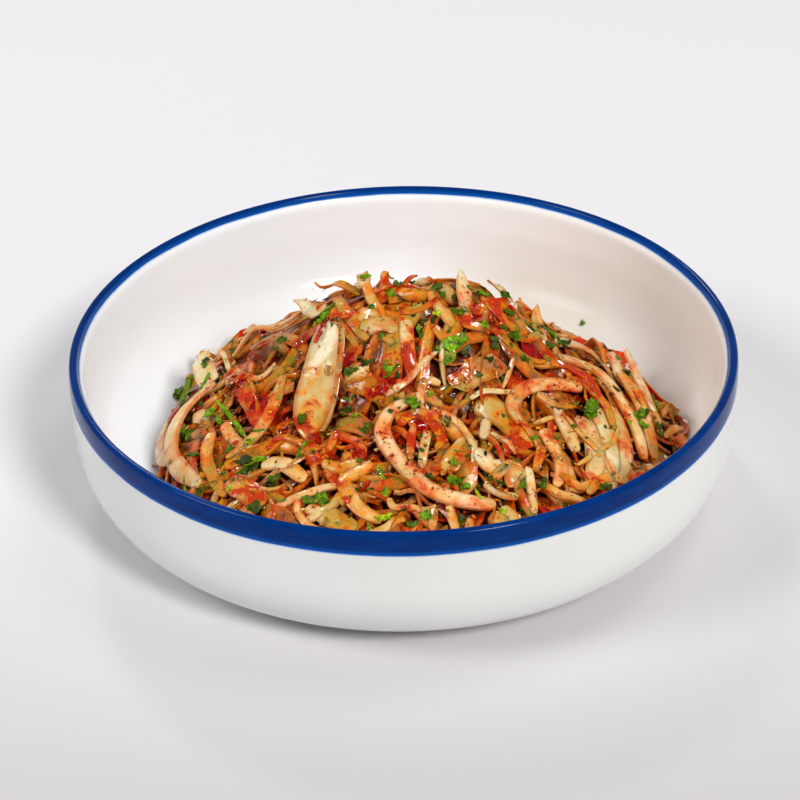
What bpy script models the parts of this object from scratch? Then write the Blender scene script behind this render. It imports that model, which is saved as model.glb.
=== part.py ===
"""A shallow glazed stoneware bowl heaped with onion salad.

Metres, +Z up. The origin is the centre of the foot ring's underside, where the bowl meets the table.
"""

import math

import bmesh
import bpy

MM = 0.001

# Bowl
RIM_RADIUS = 100.0 * MM  # outermost edge of the lip
RIM_HEIGHT = 46.0 * MM  # top of the lip above the table
LIP_TUBE = 1.3 * MM  # half the thickness of the rounded lip
WALL_BULGE = 0.3 * MM  # the wall stands this far outside the lip
INNER_RADIUS = 96.0 * MM  # inside of the upright wall
INNER_SHOULDER = 1.9 * MM  # below the lip's top, where the lip has grown to the wall's thickness
BEND_OUTER_TOP = 27.0 * MM  # where the outer wall starts to turn under
BEND_INNER_TOP = 30.0 * MM
BASE_OUTER_RADIUS = 76.0 * MM  # where the outer bend has become flat
BASE_INNER_RADIUS = 72.0 * MM
UNDERSIDE = 2.6 * MM  # height of the flat base above the table
FLOOR = 7.0 * MM  # height of the inner floor above the table
BEND_POWER = 2.3  # superellipse exponent: 2 is an ellipse, more is squarer
FOOT_OUTER = 70.0 * MM
FOOT_INNER = 65.0 * MM
FOOT_CHAMFER = 0.7 * MM
BOWL_SIDES = 72

# Salad
GAP = 0.3 * MM  # clearance that touching meshes keep
SALAD_RADIUS = 82.5 * MM  # mean radius of the heap's foot
SALAD_CENTRE = (2.5 * MM, -6.0 * MM)
FOOT_WAVES = ((3, 1.6 * MM, 0.8), (5, 1.2 * MM, 1.6))  # waves round the foot: count, height, phase
EDGE_THICKNESS = 4.0 * MM  # how thick the heap is where it meets the bowl
DOME_HEIGHT = 24.0 * MM  # broad dome above that
DOME_POWER = 5.0  # more makes the dome flatter on top and steeper at its foot
MOUND_HEIGHT = 25.0 * MM  # mound on top of the dome
MOUND_CENTRE = (3.5 * MM, 7.0 * MM)
MOUND_SPREAD = (42.0 * MM, 28.0 * MM)
MOUND_POWER = 1.9  # 1 is a Gaussian, more has a flatter top and steeper sides
LUMP_HEIGHT = 1.8 * MM  # height of the tangles of strips
LUMP_SIZE = 24.0 * MM
SALAD_CELLS = 38  # cells along each side of the grid that becomes the heap


def principled(name, colour, roughness):
    """A plain Principled material, with its colour in linear values."""
    material = bpy.data.materials.new(name)
    material.use_nodes = True
    shader = material.node_tree.nodes["Principled BSDF"]
    shader.inputs["Base Color"].default_value = (*colour, 1.0)
    shader.inputs["Roughness"].default_value = roughness
    material.diffuse_color = (*colour, 1.0)
    return material


def bend(top_radius, base_radius, top, base, steps):
    """Quarter superellipse from the upright wall, at its top, down to the flat base, as (radius, height)."""
    points = []
    for i in range(steps + 1):
        turn = math.pi / 2 * i / steps
        out = max(math.cos(turn), 0.0) ** (2 / BEND_POWER)
        down = math.sin(turn) ** (2 / BEND_POWER)
        points.append((base_radius + (top_radius - base_radius) * out, top - (top - base) * down))
    return points


def bowl_profile():
    """Half section of the bowl: from the floor's centre up the inside, over the lip and down the outside."""
    inside = bend(INNER_RADIUS, BASE_INNER_RADIUS, BEND_INNER_TOP, FLOOR, 9)
    lip_centre = (RIM_RADIUS - LIP_TUBE, RIM_HEIGHT - LIP_TUBE)
    lip = []
    for i in range(7):
        turn = math.pi * (1 - i / 6)
        lip.append((lip_centre[0] + LIP_TUBE * math.cos(turn), lip_centre[1] + LIP_TUBE * math.sin(turn)))
    shoulder = (INNER_RADIUS + 0.8 * MM, RIM_HEIGHT - INNER_SHOULDER)
    outside = bend(RIM_RADIUS + WALL_BULGE, BASE_OUTER_RADIUS, BEND_OUTER_TOP, UNDERSIDE, 10)
    foot = [
        (FOOT_OUTER, UNDERSIDE),
        (FOOT_OUTER, FOOT_CHAMFER),
        (FOOT_OUTER - FOOT_CHAMFER, 0.0),
        (FOOT_INNER + FOOT_CHAMFER, 0.0),
        (FOOT_INNER, FOOT_CHAMFER),
        (FOOT_INNER, UNDERSIDE),
    ]
    return [(0.0, FLOOR), *reversed(inside), shoulder, *lip, *outside, *foot, (0.0, UNDERSIDE)]


def inner_height(radius):
    """Height of the bowl's inner surface at a distance from the axis."""
    if radius <= BASE_INNER_RADIUS:
        return FLOOR
    out = min((radius - BASE_INNER_RADIUS) / (INNER_RADIUS - BASE_INNER_RADIUS), 1.0)
    down = (1 - out**BEND_POWER) ** (1 / BEND_POWER)
    return BEND_INNER_TOP - (BEND_INNER_TOP - FLOOR) * down


def make_bowl(collection):
    """The bowl as a turned profile."""
    profile = bmesh.new()
    points = [profile.verts.new((radius, 0.0, height)) for radius, height in bowl_profile()]
    for first, second in zip(points, points[1:]):
        profile.edges.new((first, second))
    mesh = bpy.data.meshes.new("bowl")
    profile.to_mesh(mesh)
    profile.free()
    bowl = bpy.data.objects.new("bowl", mesh)
    collection.objects.link(bowl)
    turn = bowl.modifiers.new("turn", "SCREW")
    turn.axis = "Z"
    turn.steps = BOWL_SIDES
    turn.render_steps = BOWL_SIDES
    turn.use_merge_vertices = True
    turn.merge_threshold = 0.01 * MM
    turn.use_smooth_shade = True
    mesh.materials.append(principled("white_glaze", (0.83, 0.83, 0.81), 0.12))
    return bowl


def foot_radius(angle):
    """Radius of the heap's uneven foot in one direction."""
    return SALAD_RADIUS + sum(height * math.sin(count * angle + phase) for count, height, phase in FOOT_WAVES)


def lumps(x, y):
    """Uneven tangles of strips, as two crossed and bent waves, from -1 to 1."""
    step = 2 * math.pi / LUMP_SIZE
    across = math.sin(step * (0.80 * x + 0.60 * y) + 1.3 * math.sin(step * 0.41 * y))
    along = math.sin(step * (0.71 * y - 0.55 * x) + 1.3 * math.sin(step * 0.37 * x + 1.0))
    return 0.5 * (across + along)


def heap_thickness(share, x, y):
    """How far the heap's top stands above the bowl. share is 0 at its middle and 1 at its foot."""
    dome = DOME_HEIGHT * (1 - share**DOME_POWER)
    away = ((x - MOUND_CENTRE[0]) / MOUND_SPREAD[0]) ** 2 + ((y - MOUND_CENTRE[1]) / MOUND_SPREAD[1]) ** 2
    mound = MOUND_HEIGHT * math.exp(-(away**MOUND_POWER))
    return EDGE_THICKNESS + dome + (mound + LUMP_HEIGHT * lumps(x, y)) * (1 - share**6)


def make_salad(collection):
    """The heap: a square grid is rounded to a disc, laid in the bowl, and its upper copy raised to the mound."""
    heap = bmesh.new()
    bmesh.ops.create_grid(heap, x_segments=SALAD_CELLS, y_segments=SALAD_CELLS, size=1.0)
    upper = bmesh.ops.extrude_face_region(heap, geom=heap.faces[:], use_keep_orig=True)
    raised = {element for element in upper["geom"] if isinstance(element, bmesh.types.BMVert)}
    for vert in heap.verts:
        across = vert.co.x * math.sqrt(1 - vert.co.y**2 / 2)
        along = vert.co.y * math.sqrt(1 - vert.co.x**2 / 2)
        share = min(math.hypot(across, along), 1.0)
        angle = math.atan2(along, across)
        x = SALAD_CENTRE[0] + foot_radius(angle) * share * math.cos(angle)
        y = SALAD_CENTRE[1] + foot_radius(angle) * share * math.sin(angle)
        z = inner_height(math.hypot(x, y)) + GAP
        if vert in raised:
            z += heap_thickness(share, x, y)
        vert.co = (x, y, z)
    bmesh.ops.recalc_face_normals(heap, faces=heap.faces)
    mesh = bpy.data.meshes.new("salad")
    heap.to_mesh(mesh)
    heap.free()
    mesh.shade_smooth()
    salad = bpy.data.objects.new("salad", mesh)
    collection.objects.link(salad)
    mesh.materials.append(principled("onion_salad", (0.62, 0.36, 0.18), 0.35))
    return salad


def main():
    for obj in list(bpy.data.objects):
        bpy.data.objects.remove(obj)
    collection = bpy.data.collections.new("bowl_of_onion_salad")
    bpy.context.scene.collection.children.link(collection)
    make_bowl(collection)
    make_salad(collection)


main()
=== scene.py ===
import functools
import math

import bmesh
import bpy
import numpy as np
from mathutils import Matrix, Vector
from mathutils.bvhtree import BVHTree


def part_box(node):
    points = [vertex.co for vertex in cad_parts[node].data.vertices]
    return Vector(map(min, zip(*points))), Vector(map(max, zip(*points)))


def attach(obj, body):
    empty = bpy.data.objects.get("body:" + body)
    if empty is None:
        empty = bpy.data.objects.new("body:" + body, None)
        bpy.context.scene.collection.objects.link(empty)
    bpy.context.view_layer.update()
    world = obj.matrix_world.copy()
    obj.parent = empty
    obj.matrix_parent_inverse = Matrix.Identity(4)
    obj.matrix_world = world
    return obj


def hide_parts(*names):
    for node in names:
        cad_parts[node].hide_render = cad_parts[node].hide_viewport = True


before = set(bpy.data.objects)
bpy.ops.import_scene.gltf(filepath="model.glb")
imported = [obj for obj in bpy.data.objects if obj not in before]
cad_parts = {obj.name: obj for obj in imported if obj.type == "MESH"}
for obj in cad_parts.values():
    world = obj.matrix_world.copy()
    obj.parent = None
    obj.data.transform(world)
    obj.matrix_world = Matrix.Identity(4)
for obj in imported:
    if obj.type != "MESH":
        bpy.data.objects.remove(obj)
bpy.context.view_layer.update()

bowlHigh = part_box("bowl")[1]
heapLow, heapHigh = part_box("salad")
mm = 0.001
rimZ = bowlHigh.z
wallRadius = bowlHigh.x  # the wall's outside, which is the widest part
lipRadius = wallRadius - 0.3 * mm
fullTurn = 6.28  # radians, near enough for a random turn
draws = np.random.default_rng(2024)


def linear(hexColour):
    # sRGB hex to the linear colour that Blender's sockets take
    parts = [int(hexColour[i:i + 2], 16) / 255 for i in (1, 3, 5)]
    parts = [c / 12.92 if c <= 0.04045 else ((c + 0.055) / 1.055) ** 2.4 for c in parts]
    return (*parts, 1.0)


def setInputs(node, inputs):
    # inputs by name, or in their order: each is a number, a hex colour or another node's output
    for socket, value in inputs.items() if isinstance(inputs, dict) else enumerate(inputs):
        if isinstance(value, bpy.types.NodeSocket):
            node.id_data.links.new(value, node.inputs[socket])
        else:
            node.inputs[socket].default_value = linear(value) if isinstance(value, str) else value


def addNode(tree, kind, inputs=(), stops=(), interpolation="LINEAR", **settings):
    # adds a node with its settings and links, and gives its outputs; stops are a ramp's places and colours
    node = tree.nodes.new("ShaderNode" + kind)
    for name, value in settings.items():
        setattr(node, name, value)
    setInputs(node, inputs)
    if stops:
        node.color_ramp.interpolation = interpolation
        elements = node.color_ramp.elements
        while len(elements) < len(stops):
            elements.new(0.5)
        for element, (place, colour) in zip(elements, stops):
            element.position = place
            element.color = linear(colour) if isinstance(colour, str) else (colour, colour, colour, 1.0)
    return node.outputs


def newMaterial(name):
    material = bpy.data.materials.new(name)
    material.use_nodes = True
    tree = material.node_tree
    return material, tree.nodes["Principled BSDF"], functools.partial(addNode, tree)


def finishPiece(name, mesh, material):
    piece = bpy.data.objects.new(name, mesh)
    bpy.context.scene.collection.objects.link(piece)
    mesh.materials.clear()
    mesh.materials.append(material)
    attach(piece, "root")
    return piece


def finishSalad(name, mesh, material, count):
    # a joined mesh of many pieces, which stands in the heap's place
    piece = finishPiece(name, mesh, material)
    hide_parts("salad")
    print(name, count, "pieces,", len(mesh.polygons), "faces")


def glazedStoneware():
    # white tin-like glaze, fired glossy, with a cobalt band brushed on under it: the eye gets a warm white
    # with sharp highlights, and a deep blue rim whose edges bleed a little and are lighter; painted shade
    # greys the outside and the lower back of the inside, and a painted warm reflection tints the inside's
    # right half
    bandOutside = 6.9 * mm
    bandInside = 1.9 * mm
    bleed = 0.7 * mm
    wobble = 0.5 * mm
    material, shader, add = newMaterial("glazedStoneware")
    place = add("TexCoord")["Object"]
    x, y, z = add("SeparateXYZ", (place,))
    outside = add("Attribute", attribute_name="outer")["Fac"]  # 1 on the outer side, from the lip
    edge = add("Math", (outside, bandInside - bandOutside, rimZ - bandInside), operation="MULTIPLY_ADD")[0]
    brush = add("TexNoise", {"Vector": place, "Scale": 60.0, "Detail": 2.0, "Roughness": 0.5})[0]
    brushed = add("Math", (brush, wobble, -wobble / 2), operation="MULTIPLY_ADD")[0]
    brushed = add("Math", (z, brushed), operation="ADD")[0]
    above = add("Math", (brushed, edge), operation="SUBTRACT")[0]
    band = add("MapRange", {"Value": above, "From Min": -0.12 * mm, "From Max": 0.18 * mm},
               interpolation_type="SMOOTHSTEP")[0]
    halo = add("MapRange", {"Value": above, "From Min": -bleed, "From Max": 0.0},
               interpolation_type="SMOOTHSTEP")[0]
    inner = add("MapRange", {"Value": above, "From Min": 0.0, "From Max": 1.6 * mm})[0]
    streaks = add("Mapping", {"Vector": place, "Scale": (90.0, 90.0, 500.0)})[0]
    strokes = add("TexNoise", {"Vector": streaks, "Scale": 1.0, "Detail": 3.0, "Roughness": 0.6})[0]
    cobalt = add("ValToRGB", (strokes,), ((0.3, "#002664"), (0.7, "#00347A")))[0]
    cobalt = add("Mix", {0: inner, 6: "#0A56B0", 7: cobalt}, data_type="RGBA")[2]

    clouds = add("TexNoise", {"Vector": place, "Scale": 14.0, "Detail": 2.0})[0]
    inside = add("ValToRGB", (clouds,), ((0.3, "#F4FAFF"), (0.7, "#FAFDFF")))[0]
    # painted reflection: the inside's right half is tinted warm, as the salad's light falls back on it
    paintedWarmReflection = add("MapRange", {"Value": x, "From Min": 0.0, "From Max": wallRadius, "To Max": 0.75})[0]
    inside = add("Mix", {0: paintedWarmReflection, 6: inside, 7: "#FFF4E4"}, data_type="RGBA")[2]
    # painted shade: the lower back of the inside is darkened, greyer on the left and warm grey on the right
    low = add("MapRange", {"Value": z, "From Min": 18 * mm, "From Max": 34 * mm, "To Min": 1.0,
                           "To Max": 0.0})[0]
    back = add("MapRange", {"Value": y, "From Min": 10 * mm, "From Max": 70 * mm})[0]
    right = add("MapRange", {"Value": x, "From Min": 0.0, "From Max": 40 * mm})[0]
    paintedShadeAndTone = add("Mix", {0: right, 6: "#EAECED", 7: "#DAD4CB"}, data_type="RGBA")[2]
    lowBackShadeMask = add("Math", (low, back), operation="MULTIPLY")[0]
    inside = add("Mix", {0: lowBackShadeMask, 6: inside, 7: paintedShadeAndTone}, data_type="RGBA")[2]
    # painted shade: the outside is a greyer white than the inside
    outer = add("ValToRGB", (clouds,), ((0.3, "#DEDFDC"), (0.7, "#E7E8E5")))[0]
    white = add("Mix", {0: outside, 6: inside, 7: outer}, data_type="RGBA")[2]
    bled = add("Math", (halo, 0.55), operation="MULTIPLY")[0]
    white = add("Mix", {0: bled, 6: white, 7: "#8FB6E0"}, data_type="RGBA")[2]
    colour = add("Mix", {0: band, 6: white, 7: cobalt}, data_type="RGBA")[2]
    ripple = add("TexNoise", {"Vector": place, "Scale": 220.0, "Detail": 2.0})[0]
    setInputs(shader, {
        "Base Color": colour,
        "Roughness": add("MapRange", {"Value": clouds, "To Min": 0.07, "To Max": 0.15})[0],
        "Normal": add("Bump", {"Height": ripple, "Strength": 0.25, "Distance": 0.05 * mm})[0],
        "IOR": 1.5,
        "Specular IOR Level": 0.09,
    })
    return material


def slicedOnion():
    # raw onion tossed in red dressing: a wet, see-through flesh, cream where it is clean and golden to
    # orange where the dressing has soaked in, darker along the cut edges and where a strip lies deep (partly
    # dressing, partly painted shade), with faint fibres and ground chilli
    material, shader, add = newMaterial("slicedOnion")
    place = add("TexCoord")["Object"]
    along = add("UVMap", uv_map="strip")[0]  # millimetres along and across a strip
    tone = add("Attribute", attribute_name="tone")["Color"]
    brownness, stain, chance = add("SeparateColor", (tone,))
    wet = add("Attribute", attribute_name="wet")["Color"]
    buriedShade, across, splash = add("SeparateColor", (wet,))
    fromMiddle = add("Math", (across,), operation="ABSOLUTE")[0]

    def spots(scale, low, high, lift=None, detail=3.0, distortion=0.0, spread=1.0):
        # soft patches: a noise at so many to the metre, widened about its mean and cut off between two values
        noise = add("TexNoise", {"Vector": place, "Scale": scale, "Detail": detail,
                                 "Distortion": distortion})[0]
        if lift is not None:
            lift = add("Math", (lift, 0.5 - 0.5 * spread), operation="ADD")[0]
            noise = add("Math", (noise, spread, lift), operation="MULTIPLY_ADD")[0]
        return add("MapRange", {"Value": noise, "From Min": low, "From Max": high},
                   interpolation_type="SMOOTHSTEP")[0]

    # the flesh, from clean to brown
    glassy = add("Mapping", {"Vector": along, "Scale": (0.12, 0.14, 1.0)})[0]
    cloudy = add("TexNoise", {"Vector": glassy, "Scale": 1.0, "Detail": 6.0, "Roughness": 0.62})[0]
    cloudy = add("Math", (cloudy, -0.48), operation="ADD")[0]
    contrast = add("Math", (brownness, 1.5, 0.6), operation="MULTIPLY_ADD")[0]
    patchy = add("Math", (cloudy, contrast), operation="MULTIPLY")[0]
    brown = add("Math", (brownness, 0.65, 0.08), operation="MULTIPLY_ADD")[0]
    brown = add("Math", (brown, patchy), operation="ADD")[0]
    # painted shade with pooled dressing: the deeper a strip lies below its neighbours, the browner
    brown = add("Math", (buriedShade, 0.8, brown), operation="MULTIPLY_ADD")[0]
    colour = add("ValToRGB", (brown,), ((0.0, "#FAE4C0"), (0.14, "#F8CA90"), (0.3, "#E8A650"),
                                        (0.46, "#C27C12"), (0.64, "#8C4A00"), (0.82, "#602C00"),
                                        (1.0, "#381400")))[0]
    pink = add("MapRange", {"Value": chance, "From Min": 0.4, "From Max": 1.0, "To Max": 0.5})[0]
    pink = add("Math", (pink, spots(90.0, 0.35, 0.6)), operation="MULTIPLY")[0]
    colour = add("Mix", {0: pink, 6: colour, 7: "#EEB080"}, data_type="RGBA")[2]
    olive = add("Math", (brownness, 0.5, 0.35), operation="MULTIPLY_ADD")[0]
    olive = add("Math", (spots(60.0, 0.44, 0.6), olive), operation="MULTIPLY")[0]
    colour = add("Mix", {0: olive, 6: colour, 7: "#8C8608"}, data_type="RGBA")[2]

    # fibres along it, 1.5 to the millimetre
    drawnOut = add("Mapping", {"Vector": along, "Scale": (0.05, 1.5, 1.0)})[0]
    fibres = add("TexNoise", {"Vector": drawnOut, "Scale": 1.0, "Detail": 3.0, "Roughness": 0.6})[0]
    fibreShare = add("MapRange", {"Value": fibres, "From Min": 0.45, "From Max": 0.75, "To Max": 0.22})[0]
    paleness = add("Math", (1.0, brownness), operation="SUBTRACT")[0]
    fibreShare = add("Math", (fibreShare, paleness), operation="MULTIPLY")[0]
    colour = add("Mix", {0: fibreShare, 6: colour, 7: "#F6E6C4"}, data_type="RGBA")[2]

    # the dressing: orange where it has soaked in, red where it is thick; brown along the edges and dark where
    # deep, both partly dressing and partly painted shade
    lift = add("Math", (stain, 0.5, -0.25), operation="MULTIPLY_ADD")[0]
    lift = add("Math", (splash, 0.5, lift), operation="MULTIPLY_ADD")[0]
    soaked = spots(190.0, 0.3, 0.68, lift, detail=5.0, distortion=0.4, spread=2.4)
    soaked = add("Math", (soaked, 0.68), operation="MULTIPLY")[0]
    red = spots(190.0, 0.66, 0.92, lift, detail=5.0, distortion=0.4, spread=2.4)
    red = add("Math", (red, 0.9), operation="MULTIPLY")[0]
    dressed = add("Mix", {0: chance, 6: "#F08C00", 7: "#E45000"}, data_type="RGBA")[2]
    colour = add("Mix", {0: soaked, 6: colour, 7: dressed}, data_type="RGBA")[2]
    # the cut edges are darker: partly dressing gathered there, partly painted shade of the edges
    edge = add("MapRange", {"Value": fromMiddle, "From Min": 0.56, "From Max": 1.0},
               interpolation_type="SMOOTHSTEP")[0]
    edgeDressingAndShade = add("Math", (stain, 0.5, 0.45), operation="MULTIPLY_ADD")[0]
    edgeDressingAndShade = add("Math", (edge, edgeDressingAndShade), operation="MULTIPLY")[0]
    colour = add("Mix", {0: edgeDressingAndShade, 6: colour, 7: "#A84E02"}, data_type="RGBA")[2]
    colour = add("Mix", {0: red, 6: colour, 7: "#BC2000"}, data_type="RGBA")[2]
    # painted shade with pooled dressing: deep-lying points turn dark red-brown
    deepShadeColour = add("Mix", {0: spots(170.0, 0.42, 0.62), 6: "#7A1200", 7: "#402000"}, data_type="RGBA")[2]
    deepShade = add("Math", (buriedShade, 1.6), operation="POWER")[0]
    deepShade = add("Math", (deepShade, 0.9), operation="MULTIPLY")[0]
    colour = add("Mix", {0: deepShade, 6: colour, 7: deepShadeColour}, data_type="RGBA")[2]

    # specks of ground chilli, crowded in some places: one cell of a crooked pattern in so many, 0.7 mm across
    jitter = add("TexNoise", {"Vector": place, "Scale": 1500.0, "Detail": 2.0})["Color"]
    crooked = add("VectorMath", (jitter, (0.7 * mm,) * 3, place), operation="MULTIPLY_ADD")[0]
    grit = add("TexVoronoi", {"Vector": crooked, "Scale": 1500.0, "Randomness": 1.0})
    picked, sort, bigness = add("SeparateColor", (grit["Color"],))
    size = add("Math", (bigness, 0.4, 0.1), operation="MULTIPLY_ADD")[0]
    crowd = spots(70.0, 0.5, 0.7, add("Math", (stain, 0.3, -0.1), operation="MULTIPLY_ADD")[0])
    picked = add("Math", (crowd, 0.32, picked), operation="MULTIPLY_ADD")[0]
    picked = add("Math", (picked, 0.975), operation="GREATER_THAN")[0]
    speck = add("Math", (grit["Distance"], size), operation="LESS_THAN")[0]
    speck = add("Math", (speck, picked), operation="MULTIPLY")[0]
    speck = add("Math", (speck, 0.8), operation="MULTIPLY")[0]
    speckColour = add("ValToRGB", (sort,), ((0.0, "#8C6408"), (0.15, "#B03800"), (0.45, "#D04800"),
                                            (0.75, "#F08A10")), "CONSTANT")[0]
    colour = add("Mix", {0: speck, 6: colour, 7: speckColour}, data_type="RGBA")[2]

    # fine relief under a film of juice that lies smoother
    bumps = add("TexNoise", {"Vector": place, "Scale": 600.0, "Detail": 3.0})[0]
    relief = add("Math", (fibres, 0.25, bumps), operation="MULTIPLY_ADD")[0]
    juice = add("TexNoise", {"Vector": place, "Scale": 320.0, "Detail": 2.0})[0]
    rough = add("MapRange", {"Value": bumps, "From Min": 0.3, "From Max": 0.7, "To Min": 0.3,
                             "To Max": 0.5})[0]
    setInputs(shader, {
        "Base Color": colour,
        "Roughness": rough,
        "Normal": add("Bump", {"Height": relief, "Strength": 0.5, "Distance": 0.1 * mm})[0],
        "Coat Normal": add("Bump", {"Height": juice, "Strength": 1.0, "Distance": 0.35 * mm})[0],
        "Coat Weight": 0.65,
        "Coat Roughness": 0.14,
        "IOR": 1.38,
        "Specular IOR Level": 0.1,
        "Subsurface Weight": 0.85,
        "Subsurface Radius": (1.0, 0.6, 0.3),
        "Subsurface Scale": 2.2 * mm,
    })
    return material


def choppedParsley():
    # flat parsley leaf and stalk, cut with a knife and wetted by the dressing: fresh green, darker on the
    # older leaves, lime on the stalks, with a soft waxy shine, painted light and shade on the crinkles and
    # painted shade where it lies deep
    material, shader, add = newMaterial("choppedParsley")
    place = add("TexCoord")["Object"]
    tone = add("Attribute", attribute_name="tone")["Color"]
    freshness = add("SeparateColor", (tone,))[0]
    colour = add("ValToRGB", (freshness,), ((0.0, "#2A3200"), (0.35, "#486000"), (0.7, "#6C9C04"),
                                            (1.0, "#A4BA10")))[0]
    # partly the leaf's own blotchy tone, partly painted light and shade: the same noise raises the bump and
    # lightens or darkens the colour
    blotch = add("TexNoise", {"Vector": place, "Scale": 700.0, "Detail": 3.0})[0]
    paintedShadeAndTone = add("MapRange", {"Value": blotch, "From Min": 0.35, "From Max": 0.65, "To Min": 0.4,
                             "To Max": 1.5})[0]
    paintedShadeAndTone = add("CombineColor", (paintedShadeAndTone, paintedShadeAndTone, paintedShadeAndTone))[0]
    colour = add("Mix", {0: 1.0, 6: colour, 7: paintedShadeAndTone}, data_type="RGBA", blend_type="MULTIPLY")[2]
    wet = add("Attribute", attribute_name="wet")["Color"]
    buriedShade = add("SeparateColor", (wet,))[0]
    # painted shade with dressing: leaves lying deep between the strips turn dark green
    soaked = add("Math", (buriedShade, 0.6), operation="MULTIPLY")[0]
    setInputs(shader, {
        "Base Color": add("Mix", {0: soaked, 6: colour, 7: "#142400"}, data_type="RGBA")[2],
        "Normal": add("Bump", {"Height": blotch, "Strength": 0.6, "Distance": 0.12 * mm})[0],
        "Roughness": 0.42,
        "IOR": 1.42,
        "Specular IOR Level": 0.25,
        "Subsurface Weight": 0.15,
        "Subsurface Radius": (0.5, 0.6, 0.15),
        "Subsurface Scale": 0.5 * mm,
    })
    return material


def crushedChilli():
    # dried red chilli, crushed and soaked: brick red to orange flakes with a dull shine
    material, shader, add = newMaterial("crushedChilli")
    tone = add("Attribute", attribute_name="tone")["Color"]
    sort = add("SeparateColor", (tone,))[0]
    colour = add("ValToRGB", (sort,), ((0.0, "#8A1A00"), (0.4, "#B83000"), (0.75, "#D86008"),
                                       (1.0, "#E09018")))[0]
    setInputs(shader, {
        "Base Color": colour,
        "Roughness": 0.32,
        "Specular IOR Level": 0.2,
    })
    return material


def redDressing():
    # thick red dressing with pulp: deep, clear-edged gloss like tomato sauce, darker in patches of pulp
    material, shader, add = newMaterial("redDressing")
    place = add("TexCoord")["Object"]
    pulp = add("TexNoise", {"Vector": place, "Scale": 420.0, "Detail": 3.0})[0]
    setInputs(shader, {
        "Base Color": add("ValToRGB", (pulp,), ((0.3, "#6A0200"), (0.55, "#A80600"), (0.75, "#CC2200")))[0],
        "Normal": add("Bump", {"Height": pulp, "Strength": 0.5, "Distance": 0.2 * mm})[0],
        "Roughness": 0.14,
        "IOR": 1.4,
        "Subsurface Weight": 0.3,
        "Subsurface Radius": (1.0, 0.2, 0.1),
        "Subsurface Scale": 1.0 * mm,
    })
    return material


def onionJuice():
    # beads of clear juice with a little oil in it: they show what is under them and catch the lamps
    material, shader, add = newMaterial("onionJuice")
    setInputs(shader, {"Base Color": "#FFE9C8", "Roughness": 0.03, "IOR": 1.36, "Transmission Weight": 1.0})
    return material


def saladDepth():
    # the wet mass that shows between the strips: onion juice, oil and ground chilli, brown-red, and dark also
    # as painted shade of the heap's depths
    material, shader, add = newMaterial("saladDepth")
    place = add("TexCoord")["Object"]
    lumps = add("TexNoise", {"Vector": place, "Scale": 240.0, "Detail": 4.0})[0]
    setInputs(shader, {
        "Base Color": add("ValToRGB", (lumps,), ((0.3, "#2E0A00"), (0.5, "#641800"), (0.62, "#7E3404"),
                                                 (0.75, "#2E3400")))[0],
        "Normal": add("Bump", {"Height": lumps, "Strength": 0.8, "Distance": 0.8 * mm})[0],
        "Roughness": 0.25,
        "Specular IOR Level": 0.2,
    })
    return material


bowlShape = {
    "lipTube": 1.3 * mm,  # half the thickness of the rounded lip
    "insideRadius": wallRadius - 4.3 * mm,
    "outerBendTop": 27.0 * mm,
    "innerBendTop": 30.0 * mm,
    "outerBase": 76.0 * mm,  # radius where the outer bend has become flat
    "innerBase": 72.0 * mm,
    "underside": 2.6 * mm,
    "floor": 7.0 * mm,
    "bendPower": 2.3,
    "footOuter": 70.0 * mm,
    "footInner": 65.0 * mm,
    "footEdge": 0.7 * mm,
    "turns": 160,
    "innerSteps": 22,
    "outerSteps": 26,
    "lipSteps": 14,
}


def bendPoints(topRadius, baseRadius, top, base, steps):
    # radius and height down the round bend from a wall to a floor
    power = 2 / bowlShape["bendPower"]
    points = []
    for i in range(steps + 1):
        turn = math.pi / 2 * i / steps
        radius = baseRadius + (topRadius - baseRadius) * max(math.cos(turn), 0.0) ** power
        points.append((radius, top - (top - base) * math.sin(turn) ** power))
    return points


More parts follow.
